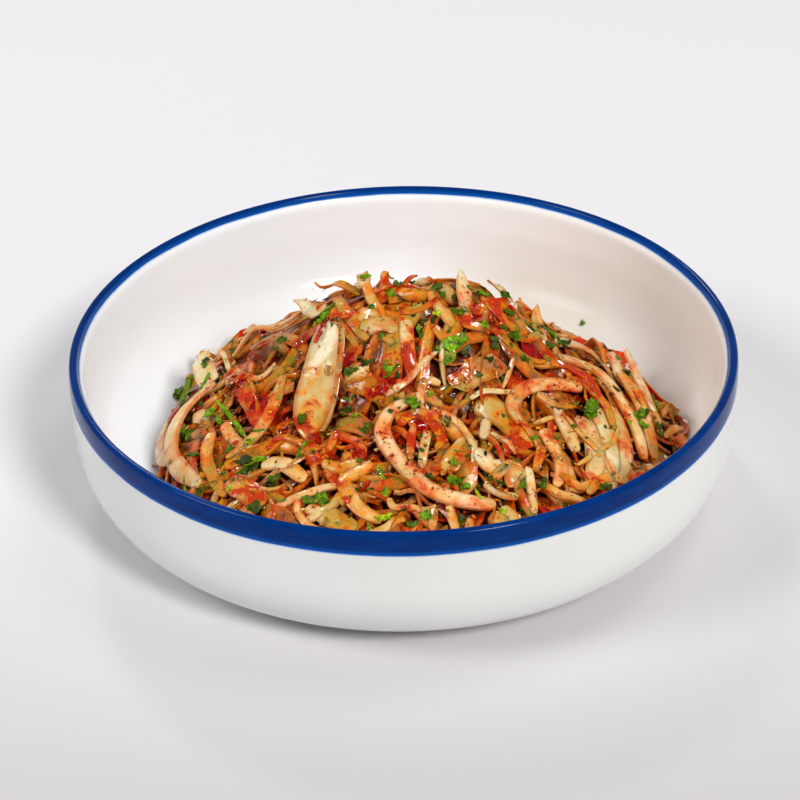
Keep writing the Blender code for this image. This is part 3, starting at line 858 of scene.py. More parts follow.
# Strips listed one by one, laid on top of the loose ones, from the lowest up: a route over the heap in
# millimetres, whose third number, where given, lifts it off the pile; then width, thickness, brownness, stain
# and what else is its own
cutPetal = {"kind": "leaf", "cup": 0.1, "startTaper": 0.35, "endTaper": 0.05, "blunt": 0.06, "skew": -0.8}
laidByHand = [
    # left side
    ([(-62, -18), (-63, -30), (-60, -42)], 4.2, 1.5, 0.75, 0.6, {}),
    ([(-74, 8), (-75, -3), (-74, -13), (-70, -22)], 5.0, 1.2, 0.1, 0.1, {}),
    ([(-56, 4, 1), (-64, 0, 1), (-69.5, -8, 1), (-70, -20, 1), (-65, -33, 0.5), (-59, -44)],
     6.8, 1.8, 0.12, 0.3, {"cup": 0.06, "chance": 0.0}),
    ([(-57, -20), (-58.5, -30), (-56, -40), (-52, -49)], 4.2, 1.6, 0.4, 0.35, {}),
    ([(-54, -18), (-50, -26), (-45, -34)], 4.6, 1.4, 0.3, 0.3, {}),
    ([(-57, 10), (-52, 3), (-48, -5), (-45, -10)], 5.0, 1.5, 0.62, 0.45, {}),
    ([(-46, 14), (-38, 7), (-32, 0), (-28, -7)], 4.2, 1.4, 0.6, 0.35, {}),
    ([(-64, 26, 9), (-63, 20, 6), (-61, 13, 3), (-59, 7)], 8.0, 1.0, 0.05, 0.0,
     {"kind": "leaf", "cup": 0.1, "startTaper": 0.0, "endTaper": 0.2, "blunt": 0.05, "skew": 0.7}),
    ([(-50, 27, 9), (-48, 24, 8), (-46, 19, 5), (-45, 12, 1)], 3.8, 1.1, 0.4, 0.1,
     {"startTaper": 0.8, "cup": 0.1}),
    ([(-58, 25, 8), (-56, 21, 6), (-54, 16, 3)], 1.8, 1.0, 0.0, 0.0, {"startTaper": 1.0}),
    ([(-53, 14, 4), (-45, 16, 4), (-38, 15, 4), (-30, 14, 4)], 5.0, 1.2, 0.3, 0.2, {"cup": 0.12}),
    ([(-49, -8), (-46, -15), (-43, -24)], 5.5, 1.4, 0.8, 0.9, {"kind": "leaf"}),
    # front left
    ([(-53, -38), (-44, -36.5), (-35, -34)], 5.5, 1.5, 0.6, 0.5, {}),
    ([(-39, -33), (-34, -33.5), (-29, -38), (-25, -43), (-20, -46)], 5.2, 1.6, 0.7, 0.8, {"cup": 0.1}),
    ([(-42, -40), (-37, -42), (-33, -46), (-28, -49)], 5.2, 1.2, 0.15, 0.2, {"cup": 0.1}),
    ([(-52, -44), (-46, -49), (-41, -57)], 8.0, 1.3, 0.25, 0.75, {"kind": "leaf"}),
    ([(-49, -56), (-43, -60)], 5.0, 1.6, 0.3, 0.2, {"startTaper": 0.8}),
    ([(-40, -60), (-34, -56.5), (-29, -54), (-24, -53.5), (-18, -55.5)], 3.0, 1.6, 0.15, 0.15, {}),
    ([(-28, -59), (-22, -64), (-14, -69)], 7.0, 1.1, 0.3, 0.3, {"kind": "leaf"}),
    ([(-31, -56), (-30.5, -62), (-27, -67), (-20, -70.5), (-12, -72)], 2.6, 1.6, 0.3, 0.2, {"roll": 0.5}),
    ([(-14, -71), (-6, -70), (0, -67.5)], 2.6, 1.4, 0.2, 0.2, {}),
    ([(-5, -60), (-3, -64), (3, -65.5), (9, -64)], 2.4, 1.4, 0.35, 0.3, {"roll": 0.6}),
    # brown wet pieces round the middle
    ([(-18, -16), (-10, -20), (-3, -25)], 8.0, 1.2, 0.85, 0.4, {"kind": "leaf"}),
    ([(-21, -27), (-13, -30), (-6, -34)], 7.0, 1.2, 0.8, 0.35, {"kind": "leaf"}),
    ([(-21, -33), (-15, -35), (-12.5, -40), (-14, -45)], 3.4, 1.5, 0.65, 0.8, {}),
    ([(-20, -33), (-21.5, -38), (-24, -43)], 2.6, 1.5, 0.35, 0.6, {}),
    ([(-24, -45), (-18, -46.5), (-12, -45)], 5.0, 1.3, 0.3, 0.55, {"kind": "leaf", "cup": 0.15}),
    # middle
    ([(2.8, -30), (1.6, -37), (1.3, -46)], 2.8, 1.6, 0.5, 0.7, {"startTaper": 0.6, "endTaper": 0.8}),
    ([(7, -31), (5.6, -39), (4.6, -50)], 3.0, 1.8, 0.1, 0.2, {"endTaper": 0.8}),
    ([(18, -32), (14, -40), (10.5, -51)], 4.2, 1.5, 0.2, 0.35, {"startTaper": 0.7, "endTaper": 0.7}),
    ([(20.5, -35), (17, -42), (13.5, -51)], 4.2, 1.4, 0.7, 0.75, {"endTaper": 0.7}),
    ([(-2, -33), (1, -29.5), (5, -28.5), (9, -31), (10.5, -36), (9, -41)], 3.4, 1.3, 0.55, 1.0,
     {"roll": -0.3}),
    ([(-9, -45.5), (-13, -49.5), (-17.5, -53), (-16, -59), (-12.5, -64), (-6, -68)], 4.8, 1.6, 0.3, 0.25, {}),
    ([(3, -25.5), (-2, -26.5), (-5.8, -31), (-6.3, -37), (-3.5, -43.5), (0, -50), (4, -57), (10, -61.5),
      (18, -63), (27, -62)], 5.6, 1.9, 0.1, 0.36,
     {"startTaper": 0.5, "endTaper": 0.2, "sink": 0.2 * mm, "cup": 0.1}),
    ([(7, -25), (12, -26.5), (17, -31), (20, -39), (19, -47)], 2.4, 1.5, 0.15, 0.25, {"endTaper": 0.8}),
    ([(20, -41), (24, -45.5), (30, -47.5)], 5.6, 1.4, 0.0, 0.1, {"skew": 0.6}),
    ([(24, -51), (30, -47), (35, -41.5)], 4.4, 1.3, 0.3, 0.2, {"endTaper": 0.9}),
    ([(24, -27), (22.8, -36)], 3.4, 1.7, 0.0, 0.05, {}),
    ([(25, -32.5), (32, -40)], 2.2, 1.5, 0.1, 0.2, {}),
    ([(20, -23), (26, -25), (31.5, -30), (36, -38.5)], 8.0, 1.4, (0.1, 0.5), (0.1, 1.0),
     {"kind": "leaf", "cup": 0.1}),
    ([(29, -55), (34, -49.5)], 6.0, 1.2, 0.3, 0.25, {"kind": "leaf", "startTaper": 1.0}),
    ([(22, -56), (27, -58.5), (32, -60)], 5.5, 1.2, 0.1, 0.15, {"kind": "leaf", "roll": 24}),
    ([(35, -48), (35.6, -56), (36, -65)], 3.2, 1.7, 0.05, 0.1, {}),
    ([(8, -65), (7, -72)], 2.6, 1.4, 0.5, 0.4, {}),
    ([(12, -65), (14, -72)], 3.0, 1.4, 0.3, 0.3, {}),
    ([(18, -66), (17, -72)], 3.0, 1.4, 0.45, 0.5, {}),
    ([(23, -66), (29, -69), (36, -70)], 5.0, 1.4, 0.35, 0.4, {}),
    ([(27, -63), (31, -68), (33, -74)], 4.0, 1.4, 0.2, 0.3, {}),
    # right
    ([(45, -20), (47, -28), (50, -37)], 4.8, 1.4, 0.05, 0.15, {}),
    ([(61, -14), (64.5, -25), (64, -34), (61, -41)], 7.0, 1.3, 0.15, 0.4, cutPetal),
    ([(56, -18), (59.5, -28), (60, -38), (57.5, -46)], 7.5, 1.3, 0.05, 0.4, cutPetal),
    ([(51, -19), (54, -28), (55.5, -37), (54, -47)], 6.6, 1.3, 0.15, 0.3, cutPetal),
    ([(47, -22), (51, -30), (57, -37), (61, -44)], 2.2, 1.3, 0.3, 0.5, {}),
    ([(64, -20), (61, -30), (54, -38), (49, -42)], 1.8, 1.2, 0.3, 0.3, {}),
    ([(34, -19.5), (33, -25), (36, -31), (39.5, -37)], 3.4, 1.5, 0.35, 0.65, {}),
    ([(38, -33), (39.5, -40), (37, -48)], 3.2, 1.5, 0.4, 0.35, {}),
    ([(40, -29), (43.5, -37), (45, -45), (42.5, -52)], 4.4, 1.5, 0.2, 0.25, {}),
    ([(56, -45), (50, -49), (44, -47)], 3.4, 1.4, 0.45, 0.4, {}),
    ([(52, -52), (45, -54), (38, -51.5)], 3.2, 1.4, 0.3, 0.4, {}),
    ([(65, -40), (58, -44), (52, -51)], 3.4, 1.5, 0.35, 0.35, {}),
    ([(73, 7), (75.5, -4), (77, -14)], 4.2, 1.3, 0.4, 0.4, {}),
    ([(46, 7, 1), (51, 11, 2.5), (57, 12, 3), (63, 8, 2), (66, 2, 0.5)], 4.4, 1.3, 0.02, 0.2, {"cup": 0.05}),
    ([(61, 19, 7), (63, 14, 5), (66, 8, 2), (69, 1)], 7.0, 1.2, -0.1, 0.1, {"kind": "leaf", "cup": 0.1}),
    ([(68, 13, 5), (71, 8, 3), (74, 1, 1), (76, -8)], 5.4, 1.2, 0.0, 0.2, {"kind": "leaf", "cup": 0.1}),
    ([(56, 22, 3), (60, 15, 2), (62, 7)], 4.0, 1.3, 0.4, 0.3, {}),
    ([(66, 6), (70, -5), (73, -16), (74, -27)], 5.2, 1.5, 0.35, 0.35, {}),
    ([(86, 1), (82.5, -7), (78, -14)], 2.8, 1.2, 0.35, 0.4, {"startTaper": 1.0}),
    ([(44, -6), (50, -3), (55.5, -5), (59, -12)], 4.6, 1.4, 0.6, 1.0, {}),
    ([(48, -8), (55, -11), (59.5, -17), (62, -26)], 4.0, 1.4, 0.55, 0.8, {}),
    ([(34, -31), (31.5, -24), (35, -17.5), (41, -13.5), (48, -12), (54, -14)], 4.8, 1.7, 0.15, 0.45, {}),
    ([(46, -2), (52, 2), (58, 2), (63, -3.5), (66.5, -12), (69.5, -21), (71, -30)], 5.6, 1.8, 0.12, 0.3, {}),
    ([(39, -17.5), (46, -18.5), (52, -16.5)], 2.8, 1.3, 0.6, 0.1, {}),
    # top
    ([(-31, 16, 5), (-28, 12, 3), (-26, 7, 1), (-24, 2)], 7.0, 1.0, 0.0, 0.0,
     {"kind": "leaf", "startTaper": 0.1, "endTaper": 0.2, "blunt": 0.05, "skew": -0.8}),
    ([(-27, 16, 7), (-22, 14, 6), (-17, 11, 4), (-12, 8, 1)], 4.4, 1.1, 0.5, 0.1, {"startTaper": 1.0}),
    ([(-12, 16, 7), (-11.5, 12, 4), (-11, 8, 1)], 4.4, 1.0, 0.15, 0.1, {"kind": "leaf", "startTaper": 0.1}),
    ([(-5, 19, 3), (-5.5, 12, 1), (-6, 7)], 3.0, 1.2, 0.3, 0.9, {}),
    ([(5, 20, 5), (1, 16, 3), (-3, 11)], 2.4, 1.2, 0.6, 0.9, {"startTaper": 1.0}),
    ([(-20, 8, 1), (-17, 0), (-14, -6), (-10, -10)], 4.2, 1.4, 0.5, 0.5, {}),
    ([(-11, 9, 1), (-8, 1), (-5, -5)], 3.6, 1.4, 0.3, 0.5, {}),
    ([(-13, -7), (-7, -7), (-1, -8)], 5.8, 1.2, 0.2, 0.1, {"kind": "leaf"}),
    ([(1, -5), (1.2, -12), (2.2, -18.5)], 4.8, 1.5, (0.05, 0.3), (0.0, 0.9),
     {"startTaper": 0.1, "chance": 0.35}),
    ([(8, 3), (12, -2), (15, -7)], 4.4, 1.3, 0.3, 0.15, {}),
    ([(9, -8.5), (14, -11), (19, -9)], 3.4, 1.4, 0.6, 0.5, {}),
    ([(24, 3), (30, 0), (37, -2)], 3.4, 1.4, 0.6, 0.7, {}),
    ([(22, 14, 1), (29, 11, 1), (36, 4)], 3.0, 1.3, 0.55, 0.8, {}),
    ([(27, 17, 6), (30, 12, 4), (33, 7, 1)], 7.5, 1.0, 0.1, 0.05, {"kind": "leaf", "startTaper": 0.7}),
    ([(17.7, 19, 6), (18.2, 12, 4), (18.8, 4, 1.5), (19.2, -6, 0)], 5.0, 1.4, (-0.05, 0.2), (-0.2, 0.7),
     {"startTaper": 1.0, "endTaper": 0.4, "taperOver": 0.5, "chance": 0.9}),
    ([(14, -21), (22, -17), (30, -11)], 8.0, 1.1, (0.5, 0.3), 0.2,
     {"kind": "leaf", "skew": 0.5, "startTaper": 0.1,
     "endTaper": 0.1, "cup": -0.06}),
    ([(19, -22.5), (25, -20.3), (33, -19.3)], 1.8, 1.4, 0.05, 0.0, {}),
    ([(34, -7), (31.5, -13), (29, -19)], 1.6, 1.2, 0.1, 0.1, {}),
    ([(-6, -23), (0, -20.2), (5, -17), (10.5, -13)], 2.4, 1.5, 0.05, 0.1, {"endTaper": 0.9}),
    ([(11, -19.5), (6.5, -20), (4.6, -24), (6.2, -27.5)], 2.8, 1.6, 0.2, 0.4, {}),
    ([(-35.5, -8), (-38, -16), (-41.5, -24), (-46, -31), (-53, -36)], 4.2, 1.5, 0.35, 0.35, {}),
    ([(-18, -5, 1), (-19.5, -12, 1), (-22, -21, 1), (-25, -31, 0)], 4.2, 1.4, 0.1, (0.1, 0.5),
     {"kind": "leaf", "cup": 0.1, "sink": 0.0}),
    ([(-21.5, -4, 1), (-24.5, -13, 1), (-27, -23, 1), (-28, -32, 0), (-27, -40)], 13.0, 1.4, (-0.1, 0.3),
     (-0.5, 1.15), {"kind": "leaf", "cup": 0.05, "startTaper": 0.4, "endTaper": 0.95, "taperOver": 0.6,
                    "taperPower": 1.7, "sink": 0.0, "chance": 0.0}),
    ([(-15, -4), (-19, -2.5), (-23.5, -5), (-26.5, -9)], 2.4, 1.2, 0.35, 0.9, {"sink": 0.2 * mm}),
    ([(-33, -1), (-25, -4.5), (-18, -7), (-12.5, -11.5)], 2.8, 1.4, 0.5, 0.7, {"twist": 0.9}),
    ([(24, -3), (29, -7), (36, -8), (43, -5)], 2.4, 1.3, 0.6, 0.9, {"startTaper": 0.9}),
    ([(-3, -1), (3, -3), (8, -1.5), (11, 3)], 2.0, 1.3, 0.7, 0.9, {"startTaper": 0.8, "endTaper": 0.9}),
    ([(14, 1), (20, -2), (26, 1)], 2.2, 1.2, 0.55, 0.8, {"endTaper": 0.9}),
    ([(-9, 5), (-4, 8), (2, 7), (6, 3)], 2.0, 1.2, 0.65, 0.9, {"startTaper": 0.9}),
]


handScale = {"width": 0.93, "leaf": 0.4, "strip": 0.6}  # of the widths and thicknesses listed above


def layByHand(pile):
    for route, width, thick, brown, stain, more in laidByHand:
        more = {"cup": draws.choice((-0.12, 0.08)), **more}
        flatter = handScale["leaf" if more.get("kind") == "leaf" else "strip"]
        made = strip(width * handScale["width"], thick * flatter, brown=brown, stain=stain, **more)
        places = np.array([[*point, 0.0][:3] for point in route]) * mm
        pile["laid"].append((made, settle(pile, places, made)))


def layStalks(pile):
    # cut parsley stalks: the long ones listed, the short ones at random
    for width, route in ((1.7, [(-57, -5), (-52.5, -13), (-49, -21), (-46.5, -29)]),
                         (1.7, [(-47, -40), (-43, -38.5), (-40, -39.5)]),
                         (2.8, [(-67, 18, 5), (-68, 13, 3), (-69, 8, 0)])):
        made = strip(width, 1.4, brown=0.75 if width < 2 else 0.5, stain=0.0, kind="stalk")
        route = np.array([[*point, 0.0][:3] for point in route]) * mm
        pile["laid"].append((made, settle(pile, route, made)))
    rows, columns = np.nonzero(heapCells)
    for _ in range(herbs["stalks"]):
        pick = draws.integers(len(rows))
        x, y = columns[pick] * cell - reach, rows[pick] * cell - reach
        heading = draws.uniform(0, fullTurn)
        route = arcRoute(x, y, heading, draws.uniform(3, 8) * mm, draws.normal(0, 40), samples=5)
        made = strip(draws.uniform(0.9, 1.8), draws.uniform(0.9, 1.4), startTaper=0.1, endTaper=0.1, cup=0.0,
                     brown=draws.uniform(0.3, 0.75), stain=0.0, kind="stalk")
        if readGrid(outline, route[:, 0], route[:, 1]).min() > shallow:
            pile["laid"].append((made, settle(pile, route, made)))


def wetness(pile, points, across):
    # for each point: how deep it lies, which the materials paint as shade and pooled dressing, how far across
    # its strip it is, and how much dressing splashed on it
    x, y, z = points.T
    buriedShade = np.clip((readGrid(pile["skin"], x, y) - z) / fullShadeDepth, 0, 1)
    return np.column_stack([buriedShade, np.broadcast_to(across, buriedShade.shape), readGrid(pile["splash"], x, y)])


def writeStrips(pile, kind, name, material):
    chosen = [(made, laid) for made, laid in pile["laid"] if made["kind"] == kind]
    shape = stripShapes[kind]
    templateMesh = stripTemplate(shape["sides"], shape["rings"])
    local = np.array([v.co for v in templateMesh.vertices])
    template = {"along": np.clip(local[:, 2] + 0.5, 0, 1), "turn": np.arctan2(local[:, 1], local[:, 0]),
                "flat": shape["flat"], "crown": shape["crown"]}
    points, tones, wet, uv = [], [], [], []
    for made, laid in chosen:
        where, along, across, fromMiddle = stripPoints(template, laid, made)
        points.append(where)
        share = template["along"]
        tones.append(np.column_stack([alongStrip(made["brown"], share), alongStrip(made["stain"], share),
                                      np.full(len(share), made["chance"])]))
        wet.append(wetness(pile, where, fromMiddle))
        uv.append(np.column_stack([along, across]))
    mesh = joinCopies(name, templateMesh, len(chosen))
    writePoints(mesh, np.vstack(points), {"tone": np.vstack(tones), "wet": np.vstack(wet)}, np.vstack(uv))
    bpy.data.meshes.remove(templateMesh)
    finishSalad(name, mesh, material, len(chosen))


herbs = {
    "leafBits": 340,
    "leavesBehind": 34,  # bigger leaves on the far side
    "behind": 14.0,  # mm, where that side starts
    "stalks": 24,
    "clumped": 0.4,  # share of the flakes and drops that lie near a splash of dressing
    "scraps": 700,
    "poolSpread": 1.4,  # size of a pool of dressing, over the size listed for its splash
    "poolDepth": 1.5 * mm,  # how far below the strips' mean height the dressing stands
    "splashes": 70,
    "pulp": 12,  # of the listed splashes, how many are thick enough to stand up
}

# parsley pieces listed one by one: place in millimetres, length, width, heading in degrees and freshness,
# from 0 for dark to 1 for lime
leavesByHand = [
    (15, -13, 6.5, 4.5, 25, 0.68), (18, -11.5, 5, 3.5, 60, 0.55), (12.5, -15, 4, 3, 10, 0.66),
    (-8, 9, 4, 3, 20, 0.4), (-1, 7, 4, 2.6, 70, 0.2), (5, 11, 4.5, 3, 10, 0.5), (10, 9, 4, 3, 50, 0.25),
    (24, 9, 5, 3, 30, 0.3), (21, 4, 4, 2.4, 80, 0.45), (33, 3, 5, 3, 20, 0.2), (2, -27, 6, 3, 15, 0.62),
    (-25, -57, 9.5, 4.2, -60, 0.5), (-22, -60, 3, 2, -40, 0.45), (13, -56, 4.5, 3.5, 20, 0.45),
    (17, -57, 4.5, 3.5, 70, 0.5), (16.5, -53, 5, 2.2, 50, 0.55), (22, -53, 7.5, 3.6, 65, 0.42),
    (2, -69, 4.5, 3.5, 20, 0.42), (5, -68, 4.5, 3, 50, 0.55), (-6, -58, 5.5, 3.2, 30, 0.55),
    (-10, -57, 4, 3, 80, 0.2), (-7, -67, 7, 2, 0, 0.85), (-11, -69, 4, 2, 60, 0.9),
    (33, -63, 4.5, 4, 30, 0.3), (28, -66, 3.5, 2, 0, 0.85), (39, -52.5, 4, 3, 20, 0.3),
    (55, -22, 6, 4.4, 80, 0.42), (71, -13, 5.5, 4, 20, 0.35), (72, -16, 4, 3, 50, 0.6),
    (77, -13, 4, 3, 60, 0.25), (81, -17, 4, 1.6, 70, 0.2), (58, -47, 4.5, 2.6, 15, 0.25),
    (-46, -40, 8, 3, 10, 0.15), (-38, -48, 5, 3, -40, 0.2), (-11, -31, 4.5, 3, -20, 0.3),
    (-30, -28, 5.5, 3, 80, 0.3), (-15, -15.5, 5, 2.4, -10, 0.22), (-11, -15, 4.5, 2.4, 20, 0.2),
    (-6, -16.5, 4, 2.2, 0, 0.45), (-5, -18.5, 5, 2, 10, 0.92), (-24, -4, 4.5, 3, -30, 0.7),
    (-26, -2, 3, 2, 60, 0.75), (28, -7.5, 6, 3, 30, 0.12), (33, -5, 5.5, 2.6, 25, 0.3),
    (36, -9, 5, 2.2, 60, 0.15), (26, -13, 5, 1.8, 30, 0.3), (24, -5, 4, 3, 80, 0.7),
    (10, -5, 3, 2.6, 0, 0.85), (4, -7, 4, 2, -20, 0.7), (6, -9.5, 3.4, 2.4, 0, 0.45),
    (4, -13.5, 2.6, 2.2, 0, 0.4), (-6, -10, 2.6, 2.6, 0, 0.5), (-4, 3, 3.5, 3, 70, 0.5),
    (-10, -2, 3.5, 2.5, 60, 0.4), (-66, -12, 10, 2.6, -52, 0.35), (-59, -12, 5, 3, 70, 0.75),
    (-70, -24, 5, 2, -60, 0.7), (-45, -31.5, 4, 3, 40, 0.85), (-51, -46.5, 3.5, 2.4, 60, 0.7),
    (-53, -41, 3, 1.6, 0, 0.3), (-68, 9, 6, 3, 40, 0.3), (-57, 6, 5, 2.4, 80, 0.5),
    (-38, 3, 6, 2.6, -40, 0.3), (-71, 2, 8, 2.4, -75, 0.6), (-44, 26, 5, 4, 20, 0.55),
    (45, 6, 6, 2.4, 60, 0.5), (49, 8, 6, 2.6, 50, 0.3), (31, 8, 4.5, 4, 30, 0.4), (12, 6, 5, 4, 0, 0.3),
    (-17, -19, 4, 1.6, -50, 0.65), (-17, -23, 5, 3, -60, 0.12), (-14, -25.5, 3.6, 2.4, 10, 0.7),
    (2, -47, 5, 1.6, -60, 0.5), (7, -52.5, 3.5, 2.6, 0, 0.15), (21, -62, 4, 1.6, -50, 0.9),
    (12, -30, 5, 3, -70, 0.25), (59, 64, 3.4, 2.4, 30, 0.4), (30, 18, 5, 4, 60, 0.6),
    (-4, 17, 3.4, 2.6, 40, 0.45), (12, 18, 4, 3, 10, 0.2), (43, 16, 5, 3, 40, 0.6),
    (-58, 22, 3.5, 2.5, 30, 0.5), (-63, 27, 3, 2, 0, 0.5), (38, -34, 4, 2, 70, 0.4),
    (67, -19, 3, 1.6, 40, 0.7), (-22, -32, 3.6, 2, 70, 0.5), (8, -22.5, 3, 2.2, 30, 0.75),
]

# patches of thick dressing listed one by one: place in millimetres, length, width, heading in degrees
smearsByHand = [
    (-42, -17, 9, 6, 70), (-6, -21, 8, 5, 20), (-49, -6, 6, 4, 60), (-51, -2, 4, 3, 20),
    (-26, -14, 4.5, 3, 10), (-32, -18.5, 4, 2.5, 30), (-30, -24.5, 4, 2.6, 20), (-26, -36, 7, 4.5, 80),
    (-22, -44, 7, 4, 40), (-14, -41, 6, 4, 70), (-6, -38, 3, 2.4, 0), (1.5, -50, 4, 2.6, 40),
    (5, -30.5, 5, 2.6, 0), (31, -38, 6, 4, 50), (-50, -43, 4.5, 3, 0), (-43, -53, 6, 5, 50),
    (38, -4, 8, 4, 20), (54, -5, 7, 5, 60), (40, -60, 5, 4, 60), (-24, -8, 5, 3, 50),
    (-33, -1.5, 5, 2.4, 40), (49, -38.5, 4, 3, 0), (18, -18, 3, 1.8, 0), (1, -16.5, 4.5, 3.4, 0),
    (22, 0, 5, 3, 80), (57, -12, 5, 3, 60), (48, -12.5, 3.5, 2.4, 0), (9.5, -57, 5, 2.4, 60),
    (-60, -3, 5, 3, 70), (-16, -12.5, 5, 2.4, 20), (43, -32, 4, 3, 0), (8, -28.5, 5, 3, 10),
]


def discTemplate(sides):
    # a thin disc with inner rings, to be drawn out into a leaf or a patch
    disc = bmesh.new()
    bmesh.ops.create_circle(disc, cap_ends=True, segments=sides, radius=1.0)
    for share in (0.3, 0.25, 0.2) if sides > 12 else (0.45,):
        bmesh.ops.inset_region(disc, faces=[max(disc.faces, key=lambda f: len(f.verts))], thickness=share)
    centre = max(disc.faces, key=lambda f: len(f.verts))
    bmesh.ops.poke(disc, faces=[centre])
    bmesh.ops.extrude_face_region(disc, geom=disc.faces[:], use_keep_orig=True)
    disc.verts.ensure_lookup_table()
    half = len(disc.verts) // 2
    for vert in disc.verts[half:]:
        vert.co.z = 1.0
    bmesh.ops.recalc_face_normals(disc, faces=disc.faces)
    mesh = bpy.data.meshes.new("template")
    disc.to_mesh(mesh)
    disc.free()
    return mesh


def leafOutline(turn):
    # lobes and nicks of a chopped parsley leaf, as a share of its size in each direction
    lobes = draws.integers(2, 4)
    shift = draws.uniform(0, fullTurn)
    edge = 0.5 + 0.5 * np.abs(np.cos(lobes * turn / 2 + shift)) ** 0.7
    edge = edge + 0.1 * np.cos(4 * lobes * turn + draws.uniform(0, fullTurn))
    return np.clip(edge, 0.25, 1.1)


def smearOutline(turn):
    # the wavy edge of a patch of dressing or of a scrap
    edge = 0.8
    for waves, height in ((2, 0.16), (3, 0.12), (5, 0.05)):
        edge = edge + height * np.cos(waves * turn + draws.uniform(0, fullTurn))
    return edge


def drape(pile, local, x, y, length, width, heading, outlineOf, thick, curl, follow, crown=0.0, crinkle=0.0):
    # a disc's points, drawn out to an outline and laid on whatever is under them
    away = np.hypot(local[:, 0], local[:, 1])
    turn = np.arctan2(local[:, 1], local[:, 0])
    edge = outlineOf(turn)
    u = local[:, 0] * edge * length / 2
    v = local[:, 1] * edge * width / 2
    c, s = math.cos(heading), math.sin(heading)
    px, py = x + u * c - v * s, y + u * s + v * c
    gx, gy = float(readGrid(pile["slopeX"], x, y)), float(readGrid(pile["slopeY"], x, y))
    steep = math.hypot(gx, gy)
    squeeze = 1 / math.sqrt(1 + steep * steep)
    if steep > 0.01:  # drawn in down the slope, so that it keeps its size along the surface
        dx, dy = gx / steep, gy / steep
        down = (px - x) * dx + (py - y) * dy
        px, py = px - down * dx * (1 - squeeze), py - down * dy * (1 - squeeze)
    base = float(readGrid(pile["height"], x, y))
    plane = base + gx * (px - x) + gy * (py - y)
    under = readGrid(pile["height"], px, py)
    slack = 0.22 * width  # how far it bends away from flat
    z = plane * (1 - follow) + np.clip(under, plane - slack, plane + slack) * follow
    z = z + curl * (u / length) ** 2 * 4 + (local[:, 2] > 0.5) * thick + 0.1 * mm
    z = z + crown * (1 - away**2) * (local[:, 2] > 0.5)
    if crinkle:
        fold = np.abs(v) * draws.uniform(-0.2, 0.55)
        z = z + fold + crinkle * np.sin(turn * draws.integers(3, 6) + draws.uniform(0, fullTurn)) * away
        z = z + 0.5 * crinkle * np.sin(u / (0.9 * mm) + draws.uniform(0, fullTurn))
    return np.column_stack([px, py, z])


def randomSpot():
    # a place anywhere on the heap
    rows, columns = heapSpots
    pick = draws.integers(len(rows))
    jitter = draws.uniform(-0.5, 0.5, 2) * cell
    return columns[pick] * cell - reach + jitter[0], rows[pick] * cell - reach + jitter[1]


def writeDiscs(pile, name, sides, pieces, material):
    templateMesh = discTemplate(sides)
    local = np.array([v.co for v in templateMesh.vertices])
    points, tones = [], []
    for lay, tone in pieces:
        points.append(lay(local))
        tones.append(np.tile(tone, (len(local), 1)))
    allPoints = np.vstack(points)
    allPoints[:, 2] = np.minimum(allPoints[:, 2], topLimit)
    mesh = joinCopies(name, templateMesh, len(pieces))
    writePoints(mesh, allPoints, {"tone": np.vstack(tones), "wet": wetness(pile, allPoints, 0.0)})
    bpy.data.meshes.remove(templateMesh)
    finishSalad(name, mesh, material, len(pieces))


def splashGrid():
    # how much dressing has landed at each place of the heap: the listed splashes, and a few smaller ones at
    # random
    spots = [(x * mm, y * mm, length * mm, width * mm, math.radians(heading), 1.0)
             for x, y, length, width, heading in smearsByHand]
    for _ in range(herbs["splashes"]):
        size = draws.uniform(3.0, 8.0) * mm
        spots.append((*randomSpot(), size, size * draws.uniform(0.4, 0.8), draws.uniform(0, fullTurn),
                      draws.uniform(0.4, 0.9)))
    ticks = np.arange(cells) * cell - reach
    x, y = np.meshgrid(ticks, ticks)
    grid = np.zeros((cells, cells))
    for px, py, length, width, heading, strength in spots:
        c, s = math.cos(heading), math.sin(heading)
        u, v = (x - px) * c + (y - py) * s, (y - py) * c - (x - px) * s
        grid = np.maximum(grid, strength * np.exp(-((u / (0.6 * length)) ** 2 + (v / (0.6 * width)) ** 2)))
    return grid


def standsProud(pile, spot):
    # how far the pile stands above the strips' mean height at a place
    return float(readGrid(pile["height"], *spot) - readGrid(pile["skin"], *spot))


def lowSpot(pile):
    # of two random places, the one deeper between the strips
    return min((randomSpot(), randomSpot()), key=lambda spot: standsProud(pile, spot))


def makeSmears(pile):
    # only the thickest dressing stands proud of the onion
    pieces = []
    tone = (0.5, 0.0, 0.0)
    spread = herbs["poolSpread"]

    def pool(local, x, y, length, width, heading):
        points = drape(pile, local, x * mm, y * mm, length * spread * mm, width * spread * mm,
                       math.radians(heading), smearOutline, 0.8 * mm, 0.0, 0.1, 0.3 * mm)
        points[:, 2] -= standsProud(pile, (x * mm, y * mm))
        return points - np.array([0.0, 0.0, herbs["poolDepth"]])

    def pulp(local, spot):
        return drape(pile, local, *spot, smearOutline, 0.05 * mm, 0.0, 1.0, 0.25 * mm, 0.05 * mm)

    for spot in smearsByHand:
        if spot[2] >= 5:
            pieces.append((lambda local, s=spot: pool(local, *s), tone))
    for x, y, length, width, heading in smearsByHand[:herbs["pulp"]]:
        for _ in range(3):
            size = draws.uniform(0.35, 0.6)
            spot = ((x + draws.normal(0, length / 5)) * mm, (y + draws.normal(0, width / 4)) * mm,
                    length * size * mm, width * size * mm, math.radians(heading) + draws.normal(0, 0.5))
            pieces.append((lambda local, s=spot: pulp(local, s), tone))
    writeDiscs(pile, "redDressing", 18, pieces, redDressing())


